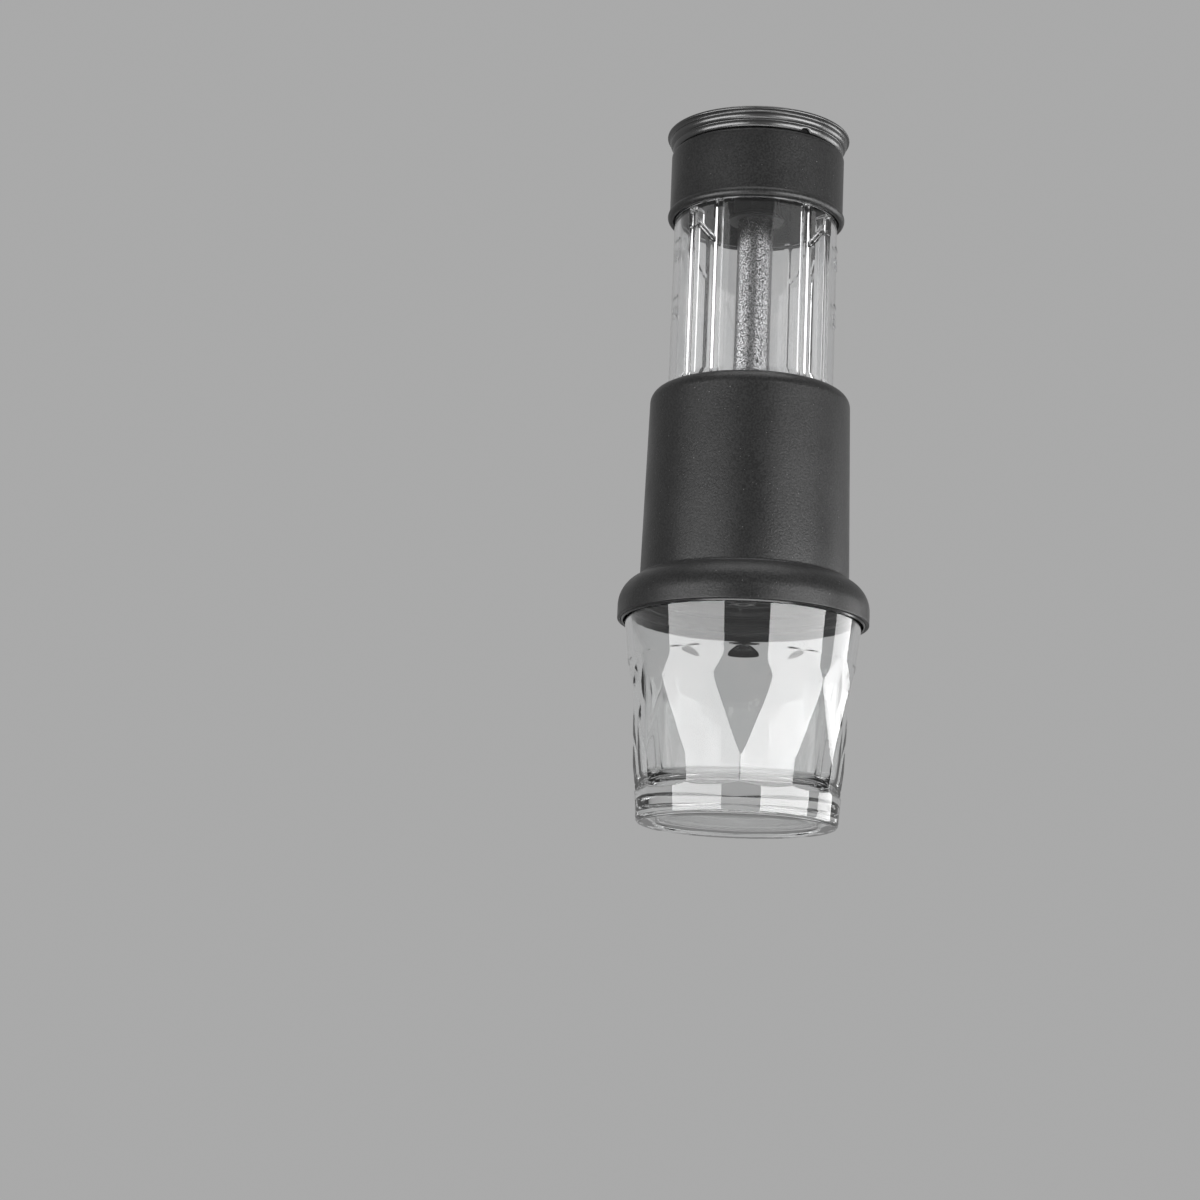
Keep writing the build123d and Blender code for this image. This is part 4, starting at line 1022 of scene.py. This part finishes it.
def make_floor():
    """Round floor at the foot of the cup."""
    number = np.arange(FLOOR_SIDES)
    edge = round_points(FLOOR_RADIUS, even_turn(FLOOR_SIDES), -FLOOR_DROP)
    faces = np.stack([0 * number, 1 + number, 1 + (number + 1) % FLOOR_SIDES], 1)
    floor = mesh_object("floor", np.concatenate([[(0, 0, -FLOOR_DROP)], edge]), faces, smooth=False)
    floor.data.materials.append(stage_material("floor_pale", (0.62, 0.62, 0.62, 1)))
    floor.visible_glossy = False


def make_world(background, ambient):
    """Pale background for the camera, glass and metal; a softer level for everything else."""
    world = bpy.data.worlds.new("studio")
    bpy.context.scene.world = world
    world.use_nodes = True
    tree = world.node_tree
    tree.nodes.clear()
    rays = tree.nodes.new("ShaderNodeLightPath").outputs
    seen = maths(tree, "MAXIMUM", rays["Is Camera Ray"],
                 maths(tree, "MAXIMUM", rays["Is Glossy Ray"], rays["Is Transmission Ray"]))
    level = node(tree, "ShaderNodeMapRange", Value=seen, To_Min=ambient, To_Max=background).outputs[0]
    light = node(tree, "ShaderNodeBackground", Strength=level).outputs[0]
    node(tree, "ShaderNodeOutputWorld", Surface=light)


MATT_ONLY = ("diffuse",)                       # lights matt surfaces, isn't seen in gloss
MIRRORED = ("glossy", "transmission")          # seen in gloss, metal and glass
GLOSS_ONLY = ("glossy",)                       # mirrored, but not seen through clear walls
THROUGH_GLASS = ("transmission",)              # seen only in what stands behind clear walls
LIGHTS = (      # name, azimuth and elevation in degrees, width and height in metres, level, reaches
    ("left_reflection", -50, -10, 1.12, 0.64, 7.5, GLOSS_ONLY),
    ("right_reflection", 52, -10, 1.14, 0.64, 10.0, GLOSS_ONLY),
    ("side_reflection", 111, -10, 0.5, 0.64, 6.0, GLOSS_ONLY),
    ("low_reflection", 0, -58, 1.2, 0.4, 5.0, MIRRORED),
    ("top_reflection", 0, 80, 1.0, 0.5, 3.0, MIRRORED),
    ("left_rod_band", -78, 17, 1.4, 0.36, 1.6, THROUGH_GLASS),
    ("right_rod_band", 58, 17, 1.9, 0.36, 1.35, THROUGH_GLASS),
    ("right_light", 62, 14, 0.6, 0.9, 2.6, MATT_ONLY),
    ("left_light", -55, 14, 0.6, 0.9, 1.2, MATT_ONLY),
    ("top_light", 10, 65, 0.7, 0.7, 1.6, MATT_ONLY),
)


def softbox(name, azimuth, elevation, width, height, level, reaches):
    """Area light a metre from the middle of the object and aimed at it, as bright as level
    times white. Azimuth 0 is in front of the object and positive to its right. It shows to the
    kinds of ray named in reaches, and never to the camera."""
    data = bpy.data.lights.new(name, "AREA")
    data.shape, data.size, data.size_y = "RECTANGLE", width, height
    data.energy = level * np.pi * width * height
    lamp = bpy.data.objects.new(name, data)
    bpy.context.scene.collection.objects.link(lamp)
    a, e = np.radians(azimuth), np.radians(elevation)
    middle = Vector((0, 0, 0.105))
    lamp.location = middle + Vector((np.sin(a) * np.cos(e), -np.cos(a) * np.cos(e), np.sin(e)))
    lamp.rotation_euler = (middle - lamp.location).to_track_quat("-Z", "Y").to_euler()
    lamp.visible_camera = False
    lamp.visible_diffuse = "diffuse" in reaches
    lamp.visible_glossy = "glossy" in reaches
    lamp.visible_transmission = "transmission" in reaches


PICTURE, FOCAL_PIXELS = 1200, 2780.0     # width of the picture and focal length, in pixels
SENSOR = 36.0
CAMERA_DISTANCE = 817.1
CAMERA_TILT, CAMERA_ROLL = 0.2038, 0.0431        # radians: looking up, turned about the view
AIM_RIGHT, AIM_UP, AIM_HEIGHT = 42.08, -4.44, 62.5


def make_camera():
    """Camera in front of and below the object, rolled a little, with the object right of centre."""
    forward = np.array([0, np.cos(CAMERA_TILT), np.sin(CAMERA_TILT)])
    level, rise = np.array([1.0, 0, 0]), np.array([0, -np.sin(CAMERA_TILT), np.cos(CAMERA_TILT)])
    right = np.cos(CAMERA_ROLL) * level + np.sin(CAMERA_ROLL) * rise
    up = -np.sin(CAMERA_ROLL) * level + np.cos(CAMERA_ROLL) * rise
    place = np.array([0, 0, AIM_HEIGHT]) - forward * CAMERA_DISTANCE - right * AIM_RIGHT - up * AIM_UP
    data = bpy.data.cameras.new("camera")
    data.sensor_width = SENSOR
    data.lens = FOCAL_PIXELS / PICTURE * SENSOR
    data.clip_start, data.clip_end = 0.05, 20
    camera = bpy.data.objects.new("camera", data)
    bpy.context.scene.collection.objects.link(camera)
    matrix = Matrix(np.stack([right, up, -forward], 1).tolist()).to_4x4()
    matrix.translation = Vector(place * MM)
    camera.matrix_world = matrix
    bpy.context.scene.camera = camera


make_camera()
make_floor()
make_world(background=0.5, ambient=0.42)
for light in LIGHTS:
    softbox(*light)
bpy.context.scene.view_settings.view_transform = "Standard"

paint_cad_nodes()
make_cup()
make_body_shell()
make_inner_ring()
make_cup_seat()
make_holder()
make_spout()
make_tank()
make_level_marks()
make_rod()
make_wiper()
make_springs()
make_collar()
make_hub()
make_lid()
make_pad()
